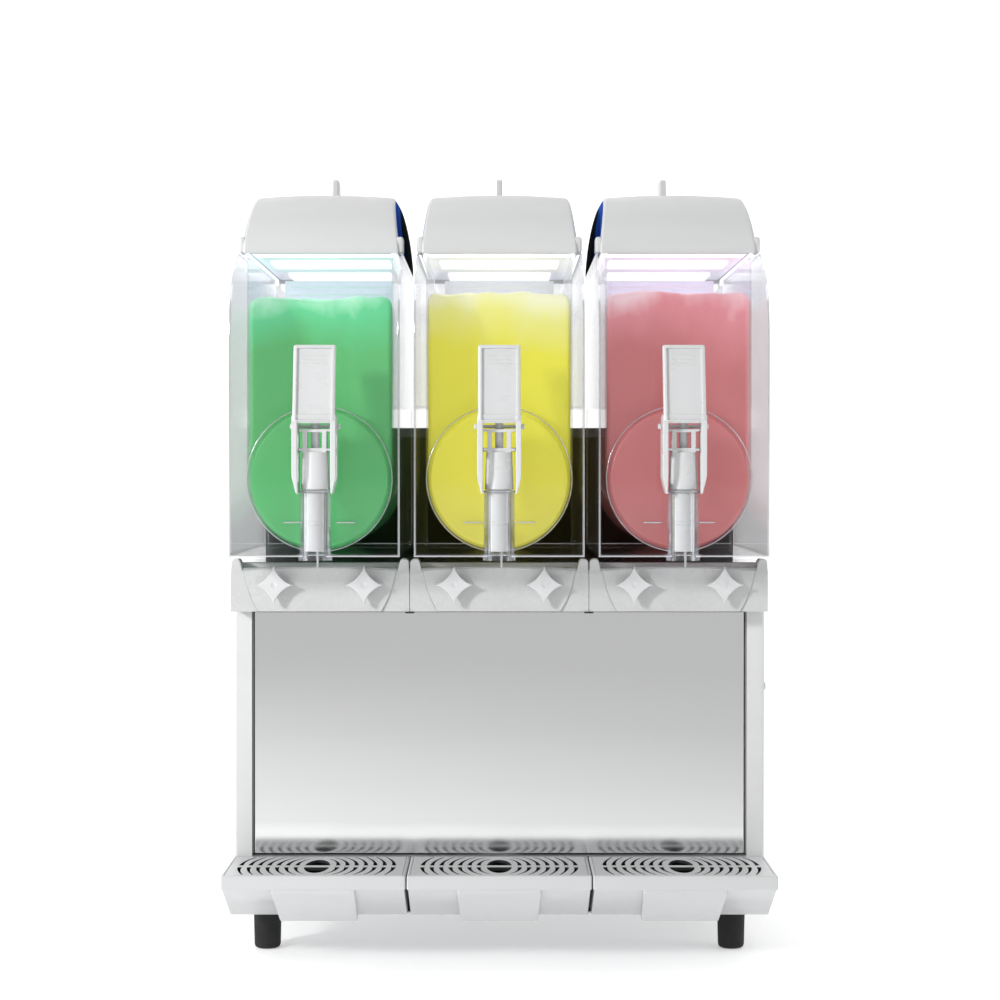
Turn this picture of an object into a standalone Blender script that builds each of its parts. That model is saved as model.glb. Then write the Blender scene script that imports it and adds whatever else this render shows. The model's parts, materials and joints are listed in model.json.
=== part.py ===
"""Three-bowl slushie machine, modelled as the separate pieces it is put together from.

Metres, +Z up, front facing -Y. The origin is on the floor, under the middle of the machine.
"""
import math

import bmesh
import bpy
from mathutils import Matrix, Vector

for leftover in list(bpy.data.objects):
    bpy.data.objects.remove(leftover, do_unlink=True)

# ---------------------------------------------------------------- driving dimensions
UNIT_PITCH = 0.200            # one bowl to the next
TRAY_PITCH = 0.201
GAP = 0.0003                  # between pieces that touch
FRONT = -0.265                # tray lips and lever plates
BACK = 0.265
SHEET = 0.0020                # folded sheet metal
ROUND = 14                    # sides of a small round piece

CABINET_HALF = 0.300
PANEL_Y = -0.135              # face of the steel front panel
CABINET_LOW = 0.067
CABINET_TOP = 0.388
DECK_TOP = 0.4415
FASCIA_Y = -0.175
POST_WIDTH = 0.020

FOOT_X, FOOT_FRONT_Y, FOOT_BACK_Y = 0.2655, -0.106, 0.225
FOOT_TOP_R, FOOT_END_R = 0.016, 0.014

SHELL_HALF = 0.0925
SHELL_FRONT, SHELL_BACK = -0.2515, 0.1585
SHELL_LOW, SHELL_TOP = 0.452, 0.788
SHELL_REAR, SHELL_STEP = 0.250, 0.625
SHELL_WALL = 0.0025

DRUM_Z = 0.5365               # auger and evaporator axis
BOWL_HALF, BOWL_WALL = 0.0805, 0.0025
BOWL_FRONT, BOWL_BACK, BOWL_TOP = -0.1665, 0.150, 0.784
BOSS_R, BOSS_FRONT = 0.082, -0.1845

TAP_Y = -0.2365
TUBE_R, TUBE_BORE = 0.017, 0.0132
TUBE_LOW, TUBE_TOP = 0.448, 0.524
PORT_Z, PORT_R, NECK_R = 0.472, 0.0075, 0.0120
PISTON_R, PISTON_LOW, ROD_TOP = 0.0123, 0.4575, 0.5985
CAP_R, CAP_LOW, CAP_TOP = 0.0155, 0.5248, 0.5640
PIVOT_Z = 0.5935
PIN_R, PIN_HALF = 0.0020, 0.0275
LEVER_HALF = 0.0238
LEVER_TOP, LEVER_LEAN = 0.682, 0.020

EVAP_R, EVAP_BORE, EVAP_FRONT = 0.055, 0.008, -0.120
COVER_FRONT, COVER_BACK, COVER_TOP = 0.168, 0.256, 0.600
BLADE_IN, BLADE_OUT, BLADE_PITCH, BLADE_TURNS = 0.0585, 0.0750, 0.090, 3

LID_LOW, LID_TOP, FIN_TOP = 0.789, 0.8665, 0.9015
LID_FRONT, LID_BACK = -0.1595, 0.2585
LID_HALF_LOW, LID_HALF_TOP, LID_WALL = 0.0885, 0.0795, 0.0025

KNOB_Z, KNOB_X, KNOB_TIP, KNOB_WAIST = 0.4188, 0.050, 0.020, 0.0112
TRAY_HALF, TRAY_TOP, TRAY_LIP, TRAY_LOW = 0.0999, 0.109, 0.093, 0.0516
TRAY_KNEE, GRIP_LOW = -0.183, 0.0444
TRAY_BACK = -0.1368
RING_Y, RING_PITCH, RING_FIRST, RING_COUNT = -0.2010, 0.010, 0.023, 7
RING_STRETCH = 1.36

FAN_X, FAN_Y, FAN_Z, FAN_R = 0.130, 0.180, 0.210, 0.085
COMPRESSOR = Vector((-0.160, 0.080, 0.0))
SWITCH_X, INLET_X, OUTLET_Z = -0.190, -0.240, 0.130

PARTS = bpy.data.collections.new("slushie_machine")
CUTTERS = bpy.data.collections.new("slushie_machine_cutters")
for group in (PARTS, CUTTERS):
    bpy.context.scene.collection.children.link(group)


# ---------------------------------------------------------------- materials
def finish(name, color, roughness, metallic=0.0, alpha=1.0):
    made = bpy.data.materials.new(name)
    made.use_nodes = True
    shader = made.node_tree.nodes["Principled BSDF"]
    shader.inputs["Base Color"].default_value = (*color, 1.0)
    shader.inputs["Roughness"].default_value = roughness
    shader.inputs["Metallic"].default_value = metallic
    shader.inputs["Alpha"].default_value = alpha
    made.diffuse_color = (*color, alpha)
    return made


WHITE_PLASTIC = finish("white_plastic", (0.74, 0.74, 0.74), 0.35)
WHITE_PAINT = finish("white_paint", (0.78, 0.78, 0.78), 0.40)
GREY_PLASTIC = finish("lid_plastic", (0.66, 0.67, 0.68), 0.35)
CLEAR = finish("clear_plastic", (0.92, 0.95, 0.96), 0.05, alpha=0.30)
STEEL = finish("brushed_steel", (0.55, 0.56, 0.57), 0.22, 1.0)
ZINC = finish("zinc_plate", (0.46, 0.47, 0.48), 0.45, 1.0)
COPPER = finish("copper_tube", (0.72, 0.36, 0.22), 0.30, 1.0)
BLACK_METAL = finish("black_enamel", (0.015, 0.015, 0.017), 0.45)
BLACK_PLASTIC = finish("black_plastic", (0.020, 0.020, 0.022), 0.50)
RUBBER = finish("black_rubber", (0.018, 0.018, 0.018), 0.75)
SILICONE = finish("white_silicone", (0.70, 0.71, 0.72), 0.60)


# ---------------------------------------------------------------- modelling helpers
def baked(obj):
    """The evaluated mesh of a temporary object, in world space and welded; the object goes."""
    PARTS.objects.link(obj)
    graph = bpy.context.evaluated_depsgraph_get()
    mesh = bpy.data.meshes.new_from_object(obj.evaluated_get(graph))
    mesh.transform(obj.matrix_world)
    bpy.data.objects.remove(obj, do_unlink=True)
    bm = bmesh.new()
    bm.from_mesh(mesh)
    bmesh.ops.remove_doubles(bm, verts=bm.verts, dist=0.00001)
    bm.to_mesh(mesh)
    bm.free()
    return mesh


def mesh_from(bm):
    mesh = bpy.data.meshes.new("shape")
    bm.to_mesh(mesh)
    bm.free()
    return mesh


def box(low, high):
    low, high = Vector(low), Vector(high)
    place = Matrix.Translation((low + high) / 2) @ Matrix.Diagonal((*(high - low), 1.0))
    bm = bmesh.new()
    bmesh.ops.create_cube(bm, size=1.0, matrix=place)
    return mesh_from(bm)


def cylinder(radius, start, end, segments=ROUND, end_radius=None):
    start, end = Vector(start), Vector(end)
    along = end - start
    turn = Vector((0, 0, 1)).rotation_difference(along).to_matrix().to_4x4()
    bm = bmesh.new()
    bmesh.ops.create_cone(
        bm, cap_ends=True, segments=segments, radius1=radius, depth=along.length,
        radius2=radius if end_radius is None else end_radius,
        matrix=Matrix.Translation((start + end) / 2) @ turn)
    return mesh_from(bm)


def prism(outline, axis, low, high):
    """A closed outline in the two other axes, in X, Y, Z order, extruded along axis."""
    curve = bpy.data.curves.new("outline", "CURVE")
    curve.dimensions = "2D"
    curve.fill_mode = "BOTH"
    curve.extrude = (high - low) / 2
    spline = curve.splines.new("POLY")
    spline.points.add(len(outline) - 1)
    for point, (u, v) in zip(spline.points, outline):
        point.co = (u, v, 0.0, 1.0)
    spline.use_cyclic_u = True
    middle = (low + high) / 2
    frames = {
        "X": ((0, 0, 1, middle), (1, 0, 0, 0), (0, 1, 0, 0), (0, 0, 0, 1)),
        "Y": ((1, 0, 0, 0), (0, 0, -1, middle), (0, 1, 0, 0), (0, 0, 0, 1)),
        "Z": ((1, 0, 0, 0), (0, 1, 0, 0), (0, 0, 1, middle), (0, 0, 0, 1)),
    }
    mesh = baked(bpy.data.objects.new("outline", curve))
    mesh.transform(Matrix(frames[axis]))
    return mesh


def turned(profile, centre, axis="Z", segments=ROUND, closed=False):
    """(radius, height) points, down the outer side, turned about an axis through centre."""
    mesh = bpy.data.meshes.new("profile")
    count = len(profile)
    links = [(i, i + 1) for i in range(count - 1)]
    if closed:
        links.append((count - 1, 0))
    mesh.from_pydata([(radius, 0.0, height) for radius, height in profile], links, [])
    obj = bpy.data.objects.new("profile", mesh)
    screw = obj.modifiers.new("turn", "SCREW")
    screw.steps = screw.render_steps = segments
    screw.use_merge_vertices = True
    screw.merge_threshold = 0.00001
    mesh = baked(obj)
    if axis == "Y":
        mesh.transform(Matrix.Rotation(-math.pi / 2, 4, "X"))
    mesh.transform(Matrix.Translation(centre))
    return mesh


def tube(points, radius):
    curve = bpy.data.curves.new("tube", "CURVE")
    curve.dimensions = "3D"
    curve.bevel_depth = radius
    curve.bevel_resolution = 2
    curve.use_fill_caps = True
    spline = curve.splines.new("POLY")
    spline.points.add(len(points) - 1)
    for point, place in zip(spline.points, points):
        point.co = (*place, 1.0)
    return baked(bpy.data.objects.new("tube", curve))


def arc(u, v, radius, first, last, steps):
    """Points on a circle about (u, v), angles in degrees."""
    angles = [math.radians(first + (last - first) * i / steps) for i in range(steps + 1)]
    return [(u + radius * math.cos(a), v + radius * math.sin(a)) for a in angles]


def part(name, mesh, material, origin=(0.0, 0.0, 0.0), smooth=False):
    origin = Vector(origin)
    mesh.name = name
    mesh.transform(Matrix.Translation(-origin))
    mesh.materials.clear()
    mesh.materials.append(material)
    if smooth:
        mesh.shade_smooth()
        mesh.set_sharp_from_angle(angle=math.radians(35))
    obj = bpy.data.objects.new(name, mesh)
    obj.location = origin
    PARTS.objects.link(obj)
    return obj


def combine(obj, mesh, operation):
    cutter = bpy.data.objects.new(obj.name + "_tool", mesh)
    cutter.display_type = "WIRE"
    cutter.hide_render = True
    CUTTERS.objects.link(cutter)
    boolean = obj.modifiers.new(operation.lower(), "BOOLEAN")
    boolean.operation = operation
    boolean.solver = "EXACT"
    boolean.object = cutter


def cut(obj, *meshes):
    for mesh in meshes:
        combine(obj, mesh, "DIFFERENCE")


def fuse(obj, *meshes):
    for mesh in meshes:
        combine(obj, mesh, "UNION")


def bevel(obj, width, segments=2, angle=40):
    rounding = obj.modifiers.new("bevel", "BEVEL")
    rounding.width = width
    rounding.segments = segments
    rounding.limit_method = "ANGLE"
    rounding.angle_limit = math.radians(angle)


# ---------------------------------------------------------------- cabinet
def make_chassis():
    """Base pan with a tray ledge, a front flange and the louvred rear wall."""
    half = CABINET_HALF - SHEET - GAP
    low, back = CABINET_LOW, 0.262
    front = PANEL_Y + SHEET
    section = [
        (back, low), (back, CABINET_TOP - SHEET), (back - SHEET, CABINET_TOP - SHEET),
        (back - SHEET, low + SHEET), (front + SHEET, low + SHEET), (front + SHEET, 0.110),
        (front, 0.110), (front, low),
    ]
    chassis = part("chassis", prism(section, "X", -half, half), ZINC)
    ledge_top = TRAY_LOW - GAP * 2
    fuse(chassis, box((-0.280, -0.163, ledge_top - SHEET), (0.280, front + 0.006, ledge_top)))
    fuse(chassis, box((-0.280, front, ledge_top - SHEET), (0.280, front + 0.006, low + SHEET / 2)))
    for column_x in (0.045, 0.215):
        for row in range(8):
            z = 0.105 + row * 0.028
            cut(chassis, box((column_x - 0.070, 0.250, z), (column_x + 0.070, BACK, z + 0.008)))
    for x, half_x, half_z in ((INLET_X, 0.0142, 0.0122), (SWITCH_X, 0.0104, 0.0154)):
        cut(chassis, box((x - half_x, 0.250, OUTLET_Z - half_z), (x + half_x, BACK, OUTLET_Z + half_z)))


def make_side_panel(name, side):
    """A folded side: front post, outer wall and rear return, with one thumb screw."""
    outer, inner = CABINET_HALF, CABINET_HALF - POST_WIDTH
    front, back = PANEL_Y - 0.0012, BACK - 0.001
    outline = [(inner, front), (inner, front + SHEET)]
    outline += [(outer - SHEET, front + SHEET), (outer - SHEET, back - SHEET)]
    outline += [(inner, back - SHEET), (inner, back)]
    outline += arc(outer - 0.003, back - 0.003, 0.003, 90, 0, 3)
    outline += arc(outer - 0.003, front + 0.003, 0.003, 0, -90, 3)
    outline = [(side * x, y) for x, y in outline]
    panel = part(name, prism(outline, "Z", CABINET_LOW, CABINET_TOP - GAP), WHITE_PAINT)
    start = Vector((side * (outer - 0.001), -0.116, 0.300))
    fuse(panel, cylinder(0.005, start, start + Vector((side * 0.0044, 0, 0)), 12, 0.004))


def make_front_panel():
    low = (-0.277, PANEL_Y, 0.112)
    high = (0.277, PANEL_Y + SHEET, CABINET_TOP - SHEET)
    bevel(part("front_panel", box(low, high), STEEL), 0.0005, 1)


def make_top_deck():
    half, front, back = CABINET_HALF - 0.0015, -0.150, 0.262
    deck = part("top_deck", box((-half, front, CABINET_TOP + GAP), (half, back, DECK_TOP)), WHITE_PAINT)
    inside = box((-half + SHEET, front + SHEET, 0.380), (half - SHEET, back - SHEET, DECK_TOP - 0.003))
    cut(deck, inside)


def make_motor_cover():
    """Dark housing behind the bowls that holds the three gearmotors."""
    section = [
        (COVER_FRONT, DECK_TOP + GAP), (COVER_FRONT, COVER_TOP - 0.012), (COVER_FRONT + 0.012, COVER_TOP),
        (COVER_BACK - 0.020, COVER_TOP), (COVER_BACK, COVER_TOP - 0.020), (COVER_BACK, DECK_TOP + GAP),
    ]
    wall = 0.0025
    inside = [
        (COVER_FRONT + wall, 0.430), (COVER_FRONT + wall, COVER_TOP - 0.0135),
        (COVER_FRONT + 0.0135, COVER_TOP - wall), (COVER_BACK - 0.0212, COVER_TOP - wall),
        (COVER_BACK - wall, COVER_TOP - 0.0212), (COVER_BACK - wall, 0.430),
    ]
    cover = part("motor_cover", prism(section, "X", -0.295, 0.295), BLACK_PLASTIC)
    cut(cover, prism(inside, "X", -0.2925, 0.2925))
    for unit in (-1, 0, 1):
        x = unit * UNIT_PITCH
        cut(cover, cylinder(0.010, (x, COVER_FRONT - 0.01, DRUM_Z), (x, COVER_FRONT + 0.01, DRUM_Z), 16))


def make_foot(name, x, y):
    top = CABINET_LOW - GAP
    profile = [(0, top), (FOOT_TOP_R, top), (FOOT_END_R, 0.003), (FOOT_END_R - 0.003, 0), (0, 0)]
    part(name, turned(profile, (x, y, 0.0)), RUBBER, (x, y, 0.0), smooth=True)


def make_compressor():
    base = CABINET_LOW + SHEET + GAP
    profile = [(0, 0.270), (0.040, 0.265), (0.066, 0.240), (0.072, 0.205), (0.072, 0.105)]
    profile += [(0.060, 0.080), (0.060, base), (0, base)]
    centre = Vector((COMPRESSOR.x, COMPRESSOR.y, 0.0))
    part("compressor", turned(profile, centre), BLACK_METAL, centre, smooth=True)


def make_condenser():
    low, high = Vector((0.020, 0.215, CABINET_LOW + SHEET + GAP)), Vector((0.262, 0.252, 0.345))
    block = part("condenser", box(low, high), ZINC)
    for fin in range(10):
        x = low.x + 0.018 + fin * 0.0228
        cut(block, box((x - 0.007, low.y - 0.01, low.z + 0.012), (x + 0.007, low.y + 0.020, high.z - 0.012)))


def make_fan_motor():
    hub = (FAN_X, FAN_Y - 0.018, FAN_Z)
    motor = part("fan_motor", cylinder(0.030, (FAN_X, FAN_Y - 0.060, FAN_Z), hub), ZINC)
    foot_z = CABINET_LOW + SHEET + GAP
    fuse(motor, box((FAN_X - 0.012, FAN_Y - 0.050, foot_z), (FAN_X + 0.012, FAN_Y - 0.030, FAN_Z)))
    fuse(motor, box((FAN_X - 0.035, FAN_Y - 0.058, foot_z), (FAN_X + 0.035, FAN_Y - 0.022, foot_z + 0.003)))
    cut(motor, cylinder(0.0040, (FAN_X, FAN_Y - 0.045, FAN_Z), (FAN_X, FAN_Y, FAN_Z), 12))


def make_condenser_fan():
    centre = Vector((FAN_X, FAN_Y, FAN_Z))
    half_hub = Vector((0, 0.012, 0))
    fan = part("condenser_fan", cylinder(0.026, centre - half_hub, centre + half_hub), BLACK_PLASTIC, centre)
    fuse(fan, cylinder(0.0030, centre - Vector((0, 0.040, 0)), centre, 12))
    for blade in range(5):
        wing = box((-0.026, -0.0012, 0.018), (0.026, 0.0012, FAN_R))
        wing.transform(Matrix.Rotation(math.radians(22), 4, "Z"))
        wing.transform(Matrix.Rotation(math.tau * blade / 5, 4, "Y"))
        wing.transform(Matrix.Translation(centre))
        fuse(fan, wing)


def make_refrigerant_line():
    start = Vector((COMPRESSOR.x, COMPRESSOR.y, 0.2705 + GAP))
    end = Vector((0.060, 0.2335, 0.345 + GAP))
    rise = 0.362
    points = [start, start + Vector((0, 0, 0.070))]
    points += [(start.x + 0.008, start.y, rise - 0.005), (start.x + 0.018, start.y + 0.004, rise)]
    points += [(end.x - 0.030, end.y - 0.012, rise), (end.x - 0.008, end.y, rise)]
    points += [(end.x, end.y, rise - 0.006), end]
    part("refrigerant_line", tube(points, 0.004), COPPER, smooth=True)


def make_control_box():
    back = 0.262 - SHEET - GAP
    bevel(part("control_box", box((-0.265, back - 0.045, 0.210), (-0.125, back, 0.350)), ZINC), 0.002, 1)


def make_power_inlet():
    x, z = INLET_X, OUTLET_Z
    shell = box((x - 0.0138, 0.236, z - 0.0118), (x + 0.0138, 0.2640, z + 0.0118))
    inlet = part("power_inlet", shell, BLACK_PLASTIC)
    fuse(inlet, box((x - 0.019, 0.262 + GAP, z - 0.0165), (x + 0.019, BACK, z + 0.0165)))
    cut(inlet, box((x - 0.0118, 0.248, z - 0.0085), (x + 0.0118, BACK + 0.001, z + 0.0085)))
    for pin in (-0.007, 0.0, 0.007):
        fuse(inlet, box((x + pin - 0.001, 0.246, z - 0.002), (x + pin + 0.001, 0.260, z + 0.002)))


def make_power_switch():
    """Rocker that rests with its lower half pressed in."""
    pivot = Vector((SWITCH_X, 0.2560, OUTLET_Z))
    outline = [(-0.0070, -0.0120), (0.0060, -0.0135), (0.0042, 0.0), (0.0060, 0.0135), (-0.0070, 0.0120)]
    rocker = prism(outline, "X", -0.0098, 0.0098)
    rocker.transform(Matrix.Rotation(math.radians(-7), 4, "X"))
    rocker.transform(Matrix.Translation(pivot))
    part("power_switch", rocker, BLACK_PLASTIC, pivot)


# ---------------------------------------------------------------- one bowl and its fittings
def make_fascia(name, cx):
    """Front moulding under the bowl: C section with raised ends and a slanted centre field."""
    y, back, low, top = FASCIA_Y, -0.150 - GAP, CABINET_TOP + GAP, 0.437
    wall = 0.0025
    section = [(y + 0.0015, low)] + arc(y + 0.006, top - 0.006, 0.006, 180, 90, 3) + [(back, top)]
    section += [(back, top - wall), (y + 0.007, top - wall), (y + wall + 0.001, top - 0.008)]
    section += [(y + wall + 0.002, low + wall), (back, low + wall), (back, low)]
    half = UNIT_PITCH / 2 - GAP
    fascia = part(name, prism(section, "X", cx - half, cx + half), WHITE_PLASTIC)
    for side in (-1, 1):
        rise = [(half, 0.428), (half, 0.4455), (half - 0.006, 0.4475)]
        rise += [(0.086, 0.4475), (0.0775, 0.436), (0.0775, 0.428)]
        rise = [(cx + side * x, z) for x, z in rise]
        fuse(fascia, prism(rise, "Y", y + 0.001, back - 0.001))
        seam = [(0.0835, 0.450), (0.0850, 0.450), (0.0665, 0.380), (0.0650, 0.380)]
        seam = [(cx + side * x, z) for x, z in seam]
        cut(fascia, prism(seam, "Y", y - 0.001, y + 0.0020))
        knob_x = cx + side * KNOB_X
        cut(fascia, cylinder(0.0048, (knob_x, y - 0.01, KNOB_Z), (knob_x, y + 0.01, KNOB_Z), 10))


def make_knob(name, x):
    """Four-pointed quarter-turn knob on a short shaft."""
    face, back = FASCIA_Y - 0.0150, FASCIA_Y - 0.0070
    steps = 24
    outline = []
    for i in range(steps):
        angle = math.tau * i / steps
        reach = KNOB_WAIST + (KNOB_TIP - KNOB_WAIST) * ((1 + math.cos(4 * angle)) / 2) ** 1.8
        outline.append((x + reach * math.cos(angle), KNOB_Z + reach * math.sin(angle)))
    centre = (x, face, KNOB_Z)
    knob = part(name, prism(outline, "Y", face, back), WHITE_PLASTIC, centre)
    fuse(knob, cylinder(0.0085, (x, back - 0.001, KNOB_Z), (x, FASCIA_Y - GAP, KNOB_Z), 12))
    fuse(knob, cylinder(0.0040, (x, back, KNOB_Z), (x, FASCIA_Y + 0.012, KNOB_Z), 8))


def shell_side(grow=0.0, wall=0.0):
    """Side view of the clear shell: upright front edge that sweeps back, and a step over the housing."""
    front, top, low, step = SHELL_FRONT - grow, SHELL_TOP + grow, SHELL_LOW + wall, SHELL_STEP + wall
    sweep = [(-0.2475, 0.713), (-0.2360, 0.735), (-0.2160, 0.757), (-0.1900, 0.774)]
    sweep = [(y - grow, z + grow) for y, z in sweep]
    back, rear = SHELL_BACK - wall, SHELL_REAR - wall
    rim = [(-0.1640, top), (rear, top), (rear, step), (back, step), (back, low)]
    return [(front, low), (front, 0.687)] + sweep + rim


def make_outer_shell(name, cx):
    """Clear insulating shell, open in front and on top."""
    shell = part(name, prism(shell_side(), "X", cx - SHELL_HALF, cx + SHELL_HALF), CLEAR)
    inner = SHELL_HALF - SHELL_WALL
    cut(shell, prism(shell_side(0.010, SHELL_WALL), "X", cx - inner, cx + inner))
    floor, sill = SHELL_LOW + SHELL_WALL, SHELL_STEP - 0.002
    cut(shell, box((cx - inner, SHELL_BACK - 0.010, floor), (cx + inner, SHELL_BACK + 0.010, sill)))
    cut(shell, cylinder(0.0195, (cx, TAP_Y, SHELL_LOW - 0.01), (cx, TAP_Y, SHELL_LOW + 0.01)))


def bowl_outline(cx, half, top):
    """U section: round bottom about the drum axis and upright sides."""
    return arc(cx, DRUM_Z, half, 180, 360, 11) + [(cx + half, top), (cx - half, top)]


def make_tank(name, cx):
    """Clear bowl with its round front end, tap neck and tap tube."""
    wall = BOWL_WALL
    tank = part(name, prism(bowl_outline(cx, BOWL_HALF, BOWL_TOP), "Y", BOWL_FRONT, BOWL_BACK), CLEAR)
    front = BOSS_FRONT
    dome = [(0, 0.160), (BOSS_R, 0.160), (BOSS_R, -front - 0.005), (BOSS_R - 0.003, -front - 0.002)]
    dome += [(BOSS_R * 0.6, -front - 0.0006), (0, -front)]
    dome = [(radius, -height) for radius, height in dome]
    fuse(tank, turned(dome, (cx, 0, DRUM_Z), "Y", 20))
    fuse(tank, cylinder(NECK_R, (cx, front + 0.004, PORT_Z), (cx, TAP_Y + 0.004, PORT_Z), 10))
    fuse(tank, cylinder(TUBE_R, (cx, TAP_Y, TUBE_LOW), (cx, TAP_Y, TUBE_TOP)))
    fuse(tank, cylinder(TUBE_R + 0.0015, (cx, TAP_Y, TUBE_LOW - 0.0005), (cx, TAP_Y, TUBE_LOW + 0.0035)))
    inside = bowl_outline(cx, BOWL_HALF - wall, BOWL_TOP + 0.01)
    cut(tank, prism(inside, "Y", BOWL_FRONT + wall, BOWL_BACK - wall))
    hollow = cylinder(BOSS_R - 0.0055, (cx, front + 0.0035, DRUM_Z), (cx, BOWL_FRONT + 0.010, DRUM_Z), 20)
    cut(tank, hollow)
    cut(tank, cylinder(0.070, (cx, BOWL_BACK - 0.01, DRUM_Z), (cx, BOWL_BACK + 0.01, DRUM_Z), 20))
    cut(tank, cylinder(TUBE_BORE, (cx, TAP_Y, TUBE_LOW - 0.01), (cx, TAP_Y, TUBE_TOP + 0.01)))
    cut(tank, cylinder(PORT_R, (cx, front + 0.008, PORT_Z), (cx, TAP_Y + 0.002, PORT_Z), 10))


def make_tank_seal(name, cx):
    start, end = BOWL_BACK + GAP, COVER_FRONT - GAP
    profile = [(0.0700, end), (0.0760, end), (0.0790, end - 0.004), (0.0790, start + 0.004), (0.0760, start)]
    profile += [(0.0700, start)]
    part(name, turned(profile, (cx, 0, DRUM_Z), "Y", closed=True), SILICONE, (cx, 0, DRUM_Z), smooth=True)


def make_evaporator(name, cx):
    """Cold drum: a steel cylinder with a rear flange and a bore for the auger shaft."""
    end = COVER_FRONT - GAP
    profile = [(EVAP_BORE, end), (0.066, end), (0.066, end - 0.008), (EVAP_R, end - 0.010)]
    profile += [(EVAP_R, EVAP_FRONT + 0.006), (EVAP_R - 0.006, EVAP_FRONT), (EVAP_BORE, EVAP_FRONT)]
    part(name, turned(profile, (cx, 0, DRUM_Z), "Y", closed=True), STEEL, (cx, 0, DRUM_Z), smooth=True)


def auger_blade():
    """Helical ribbon about the Y axis, spun from its end section."""
    steps = 12
    bm = bmesh.new()
    section = [(BLADE_IN, -0.132), (BLADE_OUT, -0.132), (BLADE_OUT, -0.128), (BLADE_IN, -0.128)]
    verts = [bm.verts.new((radius, y, 0.0)) for radius, y in section]
    face = bm.faces.new(verts)
    advance = Vector((0, BLADE_PITCH / steps, 0))
    bmesh.ops.spin(bm, geom=[face, *face.edges, *face.verts], cent=(0, 0, 0), axis=(0, 1, 0), dvec=advance,
                   angle=math.tau * BLADE_TURNS, steps=steps * BLADE_TURNS, use_duplicate=False)
    bmesh.ops.holes_fill(bm, edges=bm.edges)
    bmesh.ops.recalc_face_normals(bm, faces=bm.faces)
    return mesh_from(bm)


def make_auger(name, cx):
    """Scraper: helical blade, front spider and the drive shaft through the drum."""
    centre = Vector((cx, 0, DRUM_Z))
    start = centre + Vector((0, -0.142, 0))
    auger = part(name, cylinder(0.0060, start, centre + Vector((0, 0.195, 0)), 12), WHITE_PLASTIC, centre)
    fuse(auger, cylinder(0.014, start, start + Vector((0, 0.012, 0)), 12))
    for turn in range(2):
        arm = box((-BLADE_OUT + 0.002, -0.139, -0.006), (BLADE_OUT - 0.002, -0.1285, 0.006))
        arm.transform(Matrix.Rotation(turn * math.pi / 2, 4, "Y"))
        arm.transform(Matrix.Translation(centre))
        fuse(auger, arm)
    blade = auger_blade()
    blade.transform(Matrix.Translation(centre))
    fuse(auger, blade)


def make_gearmotor(name, cx):
    front = COVER_FRONT + 0.0025 + GAP
    low, high = (cx - 0.032, front, DRUM_Z - 0.045), (cx + 0.032, 0.206, DRUM_Z + 0.045)
    motor = part(name, box(low, high), ZINC)
    fuse(motor, cylinder(0.030, (cx, 0.205, DRUM_Z + 0.010), (cx, 0.248, DRUM_Z + 0.010)))
    cut(motor, cylinder(0.0068, (cx, 0.165, DRUM_Z), (cx, 0.200, DRUM_Z), 16))


def lid_outline(inset=0.0):
    """Side view of the lid: a front that leans back, a crown, and a long fall to the rear."""
    low = LID_LOW - 0.015
    front, back = LID_FRONT + inset, LID_BACK - inset
    top = LID_TOP - inset
    return [
        (front, low), (front, LID_LOW + 0.008), (-0.1300 + inset, 0.8200 - inset * 0.6),
        (-0.0950 + inset, 0.8455 - inset), (-0.0560 + inset * 0.5, top - 0.002),
        (0.0, top), (0.050, top - 0.0015), (0.110, top - 0.009), (0.165, top - 0.022),
        (0.220, top - 0.041), (back, 0.8085 - inset), (back, low),
    ]


def tapered(mesh, cx, inset):
    """Draw the sides in towards the top, most of all in front."""
    for vertex in mesh.vertices:
        share = max(0.0, (vertex.co.z - LID_LOW) / (LID_TOP - LID_LOW))
        rearward = min(1.0, max(0.0, (vertex.co.y + 0.050) / 0.250))
        draw = (LID_HALF_LOW - LID_HALF_TOP) * share * (1 - 0.7 * rearward)
        vertex.co.x = cx + math.copysign(LID_HALF_LOW - draw - inset, vertex.co.x - cx)
    return mesh


def make_lid(name, cx):
    centre = (cx, 0.0, LID_LOW)
    lid = part(name, tapered(prism(lid_outline(), "X", cx - 0.05, cx + 0.05), cx, 0.0), GREY_PLASTIC, centre)
    bevel(lid, 0.009, 2, 35)
    cut(lid, box((cx - 0.12, -0.20, LID_LOW - 0.05), (cx + 0.12, BACK, LID_LOW)))
    cut(lid, tapered(prism(lid_outline(LID_WALL), "X", cx - 0.05, cx + 0.05), cx, 0.009))
    fin = [(0.070, 0.8600), (0.0775, 0.8985), (0.0805, FIN_TOP)]
    fin += [(0.1145, FIN_TOP), (0.1175, 0.8985), (0.1250, 0.8510)]
    fuse(lid, prism(fin, "X", cx - 0.0035, cx + 0.0035))
    for side in (-1, 1):
        low, high = sorted((cx + side * 0.080, cx + side * SHELL_HALF))
        fuse(lid, box((low, LID_FRONT + 0.0005, LID_LOW + GAP), (high, -0.1300, LID_LOW + 0.0195)))


def make_tap_piston(name, cx):
    """White valve piston in the tap tube, with its stem and cross pin."""
    profile = [(0, ROD_TOP), (0.0045, ROD_TOP), (0.0045, CAP_TOP), (0.0095, CAP_TOP)]
    profile += [(0.0118, CAP_TOP - 0.003), (CAP_R, CAP_LOW), (PISTON_R, CAP_LOW)]
    profile += [(PISTON_R, PISTON_LOW), (0, PISTON_LOW)]
    centre = (cx, TAP_Y, PIVOT_Z)
    piston = part(name, turned(profile, (cx, TAP_Y, 0.0)), WHITE_PLASTIC, centre)
    fuse(piston, cylinder(PIN_R, (cx - PIN_HALF, TAP_Y, PIVOT_Z), (cx + PIN_HALF, TAP_Y, PIVOT_Z), 12))


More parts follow.
